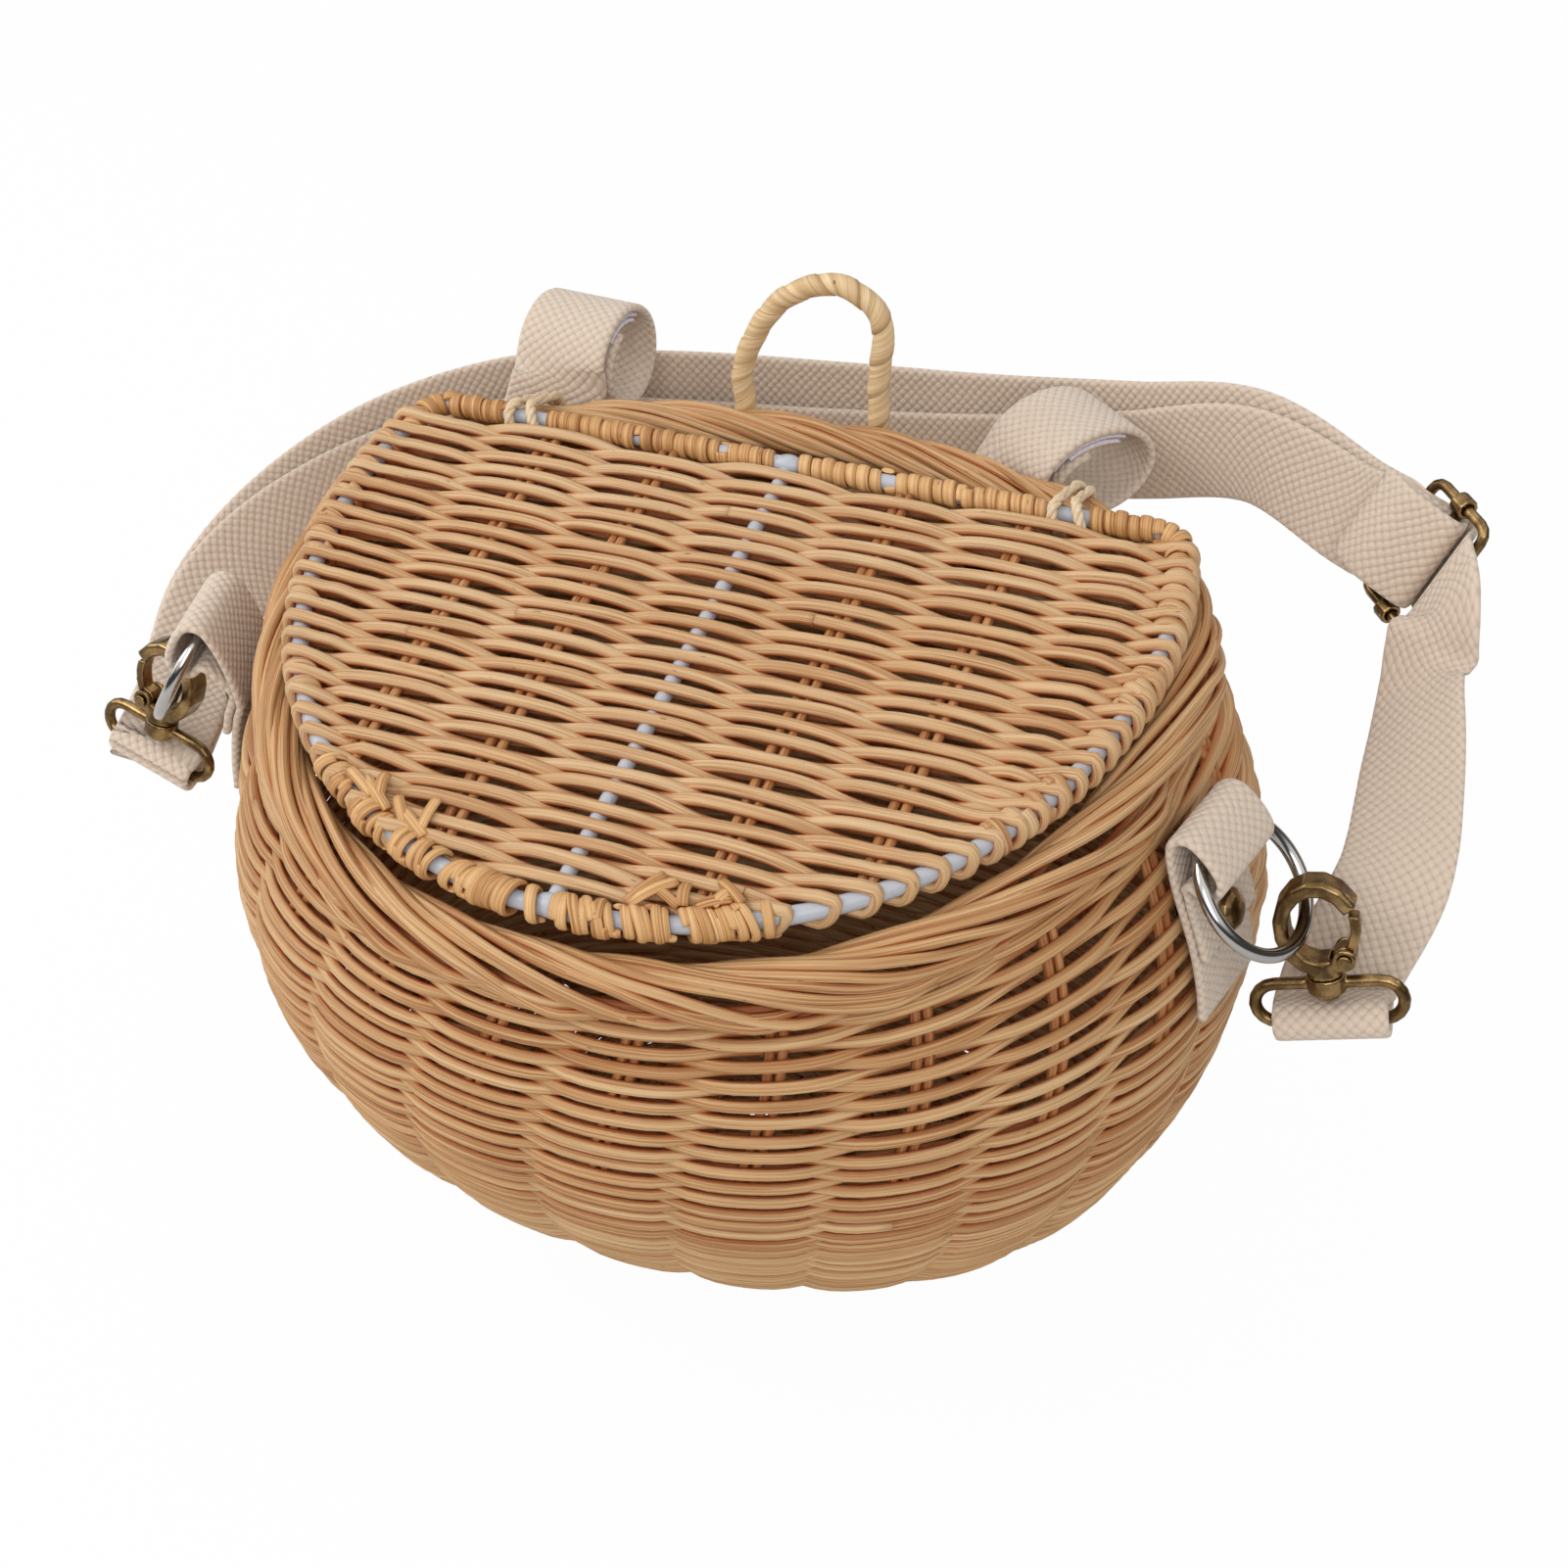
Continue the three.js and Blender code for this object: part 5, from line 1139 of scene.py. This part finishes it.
# Lid, its stakes and weave: rattan pairs from hinge to front, and one weaver that goes across them and
# back, turned round the side wire at the end of every row.
LID_STAKE_STEP = 30.0
LID_STAKES = (-60.0, -30.0, 30.0, 60.0)
LID_STAKE_ROD = 2.2
LID_STAKE_APART = 2.7
LID_ROWS = 51
LID_PITCH = 2.5
LID_START = 5.6
LID_WEAVER = 3.15
LID_FLATNESS = 0.8
LID_SWING = 1.85
END_LIFT = 2.2
END_RUN = 10
lid_stake_rattan = rattan("lid_stake_rattan", srgb(146, 88, 46), srgb(188, 130, 80), srgb(204, 152, 102))
lid_rattan = rattan("lid_rattan", srgb(164, 110, 62), srgb(199, 159, 113), srgb(208, 178, 138))
for rank, x in enumerate(LID_STAKES):
    rods = []
    for side in (-1, 1):
        depth = np.linspace(3.2, float(lid_front(x)) - 2.6, 24)
        sway = np.sin(depth * 0.05 + rank + side) * 0.3
        line = on_lid(x + side * LID_STAKE_APART / 2 + sway, depth, 0.15 * side)
        rods.append(tube(line, LID_STAKE_ROD, up=LID_UP, sides=8))
    pair = swept(f"lid_stake_pair_{rank + 1}", rods, lid_stake_rattan, "lid")
    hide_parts(f"lid_stake_{rank + 1}")


def wire_turn(x, depth, along, tilt, radius, width, height, turns, start):
    """A strand wound round the lid's wire at a place, tilted and a little open."""
    angle = start + np.linspace(0, turns * 2 * math.pi, int(26 * turns))
    along = unit(np.array([*along, 0.0]))
    outside = np.array([-along[1], along[0], 0.0])
    slide = (angle - angle.mean()) / (2 * math.pi) * width * 0.5 + tilt * np.cos(angle)
    wire = np.array([x, depth, 0.0]) + slide[:, None] * along
    plan = wire + (radius * np.cos(angle))[:, None] * outside
    line = on_lid(plan[:, 0], plan[:, 1], radius * np.sin(angle))
    return tube(line, width, height, up=line - on_lid(wire[:, 0], wire[:, 1]), sides=8)


points, upward = [], []
for row in range(LID_ROWS):
    depth = LID_START + LID_PITCH * row
    ahead = 1 if row % 2 == 0 else -1
    half = float(lid_half(depth + LID_PITCH / 2)) - 1.0
    before = float(lid_half(max(depth - LID_PITCH / 2, 0))) - 1.0
    x = np.linspace(-before, half, max(int((before + half) / 3.4), 8)) * ahead
    inner = x[1:-1]
    side_fade = np.clip((np.minimum(half, before) - np.abs(inner)) / 8, 0, 1)
    wave = swing(inner / LID_STAKE_STEP) * ahead
    rising = np.clip(1 - (half - inner * ahead) / END_RUN, 0, 1)
    falling = np.clip(1 - (before + inner * ahead) / END_RUN, 0, 1)
    heights = LID_SWING * wave * side_fade + END_LIFT * rising - END_LIFT * falling
    bow = 0.45 * np.sin(inner * 0.06 + row * 1.7) + 0.28 * np.sin(inner * 0.13 + row * 0.9)
    points.extend(on_lid(inner, depth + bow * side_fade, heights))
    upward.extend([LID_UP * ahead] * len(inner))
    end_depth = depth + np.array([0.1, 0.35, 0.65, 0.9]) * LID_PITCH
    end_half = lid_half(end_depth)
    reach = np.array([2.0, 3.2, 3.2, 2.0])
    lift = np.array([2.9, 1.3, -1.3, -2.9])
    points.extend(on_lid(ahead * (end_half + reach), end_depth, lift))
    upward.extend(ahead * unit(np.outer(lift, LID_UP) + np.outer(reach, [ahead, 0, 0])))
points, upward = np.array(points[:-4]), np.array(upward[:-4])
cuts = np.cumsum(chance.integers(160, 420, 100))
cuts = [0, *cuts[cuts < len(points) - 80], len(points) - 1]
lid_strands = []
for a, b in zip(cuts, cuts[1:]):
    places = np.linspace(0, 1, 2 * (b - a) + 1)
    line = smooth_line(points[a:b + 1], places)
    face_up = between(places * (b - a), np.arange(b - a + 1), upward[a:b + 1])
    thick = LID_WEAVER * (1 + drift(len(line), 0.05, 0.04))
    lid_strands.append(tube(line, thick, thick * LID_FLATNESS, up=face_up, sides=8))
for row in range(1, LID_ROWS - 14):
    depth = LID_START + LID_PITCH * (row + 0.5)
    if chance.random() < 0.62:
        sign = -1 if row % 2 == 0 else 1
        slope = float(lid_half(depth + 0.5) - lid_half(depth - 0.5))
        lid_strands.append(wire_turn(
            sign * float(lid_half(depth)), depth, (sign * slope, 1.0), chance.uniform(-0.9, 0.9),
            LID_WIRE / 2 + 1.2, LID_WEAVER * chance.uniform(0.85, 1.05), 2.0, chance.uniform(1.0, 1.3),
            chance.uniform(0, 6.3)))
panel = swept("lid_panel", lid_strands, lid_rattan, "lid")
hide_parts("lid_weave")

# Lid, its bindings: flat cane wound on the hinge bar, close but with the wire showing here and there,
# and less evenly on the front of the frame, where cut ends stand out.
TIE_X = 69.0
TIE_CORD = 3.2
TIE_TURNS = 2
CANE_SEAT = LID_WIRE / 2 + 0.5
CANE_WIDTH = 3.1
CANE_THICK = 1.2
CANE_POINTS = 40
BAR_PITCH, CORNER_PITCH = 2.9, 3.3
cane = rattan("cane_skin", srgb(152, 98, 50), srgb(202, 154, 98), srgb(224, 184, 132), streaks=0.7)
tie_half = TIE_TURNS * (TIE_CORD + 0.5) / 2 + 1.3
spans = [(-90.0, -TIE_X - tie_half), (-TIE_X + tie_half, -4.0),
         (4.0, TIE_X - tie_half), (TIE_X + tie_half, 90.0)]


def cane_coil(line, pitch):
    """Flat cane wound on the lid's wire: its turns advance by pitch and stand off it unevenly."""
    start = chance.uniform(0, 6)
    s, angle, at = wound(line, start, pitch, 20, LID_UP)
    spots, around = at(s, angle, CANE_SEAT * (1 + 0.12 * np.sin(s / pitch * 3.7 + start)))
    return tube(spots, CANE_WIDTH, CANE_THICK, up=around, sides=10)


for rank, (start, end) in enumerate(spans):
    turns, x = [], start
    while x < end - 2:
        stop = x + chance.uniform(9, 26)
        stop = end if stop > end - 5 else stop
        turns.append(cane_coil(on_lid(np.linspace(x, stop, CANE_POINTS), 0.0), BAR_PITCH))
        x = stop + chance.uniform(0.5, 2.0)
    if rank in (0, 3):
        sign = -1 if rank == 0 else 1
        bend = on_lid(sign * np.append(corner_x, LID_HINGE_HALF + 0.3), np.append(corner_d, LID_CORNER + 5))
        turns.append(cane_coil(smooth_line(bend, np.linspace(0, 1, CANE_POINTS)), CORNER_PITCH))
    winding = swept(f"hinge_cane_{rank + 1}", turns, cane, "lid")
    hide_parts(f"hinge_binding_{rank + 1}")

for side, start, end in (("left", -62.0, -3.0), ("right", 3.0, 46.0)):
    turns, x = [], start
    while x < end:
        lean = chance.uniform(-1.6, 1.6)
        group = min(end, x + chance.uniform(8, 17))
        while x < group:
            forward = float(lid_front(x + 0.5) - lid_front(x - 0.5))
            turns.append(wire_turn(
                x, float(lid_front(x)), (1.0, forward), lean + chance.uniform(-0.8, 0.8),
                chance.uniform(2.9, 3.7), chance.uniform(2.0, 2.8), 1.3, chance.uniform(1.0, 1.5),
                chance.uniform(0, 6.3)))
            x += chance.uniform(1.5, 2.7)
        x += chance.uniform(1.5, 4.0)
    for _ in range(7):
        x = chance.uniform(start + 3, end - 3)
        depth = float(lid_front(x))
        way = chance.uniform(-0.8, 0.8)
        reach = chance.uniform(8, 15)
        along = np.linspace(0, 1, 9)
        end_depth = depth - 2.5 + along * 4 - reach * along * math.cos(way) * 0.9
        stand = 3.1 + 1.2 * np.sin(along * 3) * chance.uniform(0.4, 1.2)
        line = on_lid(x + along * reach * math.sin(way), end_depth, stand)
        turns.append(tube(line, chance.uniform(2.2, 2.8), 1.5, up=LID_UP, sides=8))
    winding = swept(f"front_cane_{side}", turns, cane, "lid")
    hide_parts(f"front_binding_{side}")

# Hinge ties: soft cotton cord twisted from three plies, one left and one right. Each takes two turns
# round the border and the hinge bar together, and the lid turns in them.
BAR_WRAP = 3.6
RIM_WRAP = 7.3
PLIES = 3
PLY = 1.4
PLY_OUT = 0.62
TWIST = 7.5


def twisted_cord(name, tint, shadow):
    """Cotton cord: fine fibres along each ply, a little uneven in tone."""
    material, shade, shader = new_finish(name)
    along, around = strip_places(shade)
    around = around * (2 * math.pi)
    fibre = shade.noise(shade.vector(along * 900, around.cos() * 3, around.sin() * 3), detail=3)
    tone = shade.noise(shade.vector(along * 60, 0.0, 2.0), detail=2)
    colour = shade.mix(fibre.part(0.3, 0.75), shadow, tint)
    colour = shade.mix(tone * 0.4, colour, darker(tint, 0.85))
    feed(shade, shader, Base_Color=colour, Normal=shade.bump(fibre, 0.0004, 0.6))
    shader.inputs["Roughness"].default_value = 0.88
    return material


cord_finish = twisted_cord("tie_cord", srgb(234, 214, 184), srgb(198, 168, 128))
for side, sign in (("left", -1), ("right", 1)):
    steps = 40
    bar = np.array([HINGE_Y, HINGE_Z])
    points = []
    for i in range(TIE_TURNS * steps + 1):
        angle = 2 * math.pi * i / steps
        way = np.array([math.cos(angle), math.sin(angle)])
        spread = 1.15 - 0.65 * math.cos(angle)
        x = sign * TIE_X + (TIE_CORD + 0.5) * (i / steps - TIE_TURNS / 2) * spread
        rim = np.array([rim_back(x), rim_height(rim_back(x))])
        over_bar = bar.dot(way) + BAR_WRAP > rim.dot(way) + RIM_WRAP
        p = bar + way * BAR_WRAP if over_bar else rim + way * RIM_WRAP
        points.append([x, *p])
    line = smooth_line(points, np.linspace(0, 1, 200))
    across, face = frames(line, (1, 0, 0))
    way = run_length(line)
    plies = []
    for ply in range(PLIES):
        angle = way / TWIST * 2 * math.pi + ply * 2 * math.pi / PLIES
        offset = across * np.cos(angle)[:, None] + face * np.sin(angle)[:, None]
        plies.append(tube(line + offset * PLY_OUT, PLY, sides=8))
    tie = swept(f"tie_cord_{side}", plies, cord_finish)
    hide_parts(f"hinge_tie_{side}")
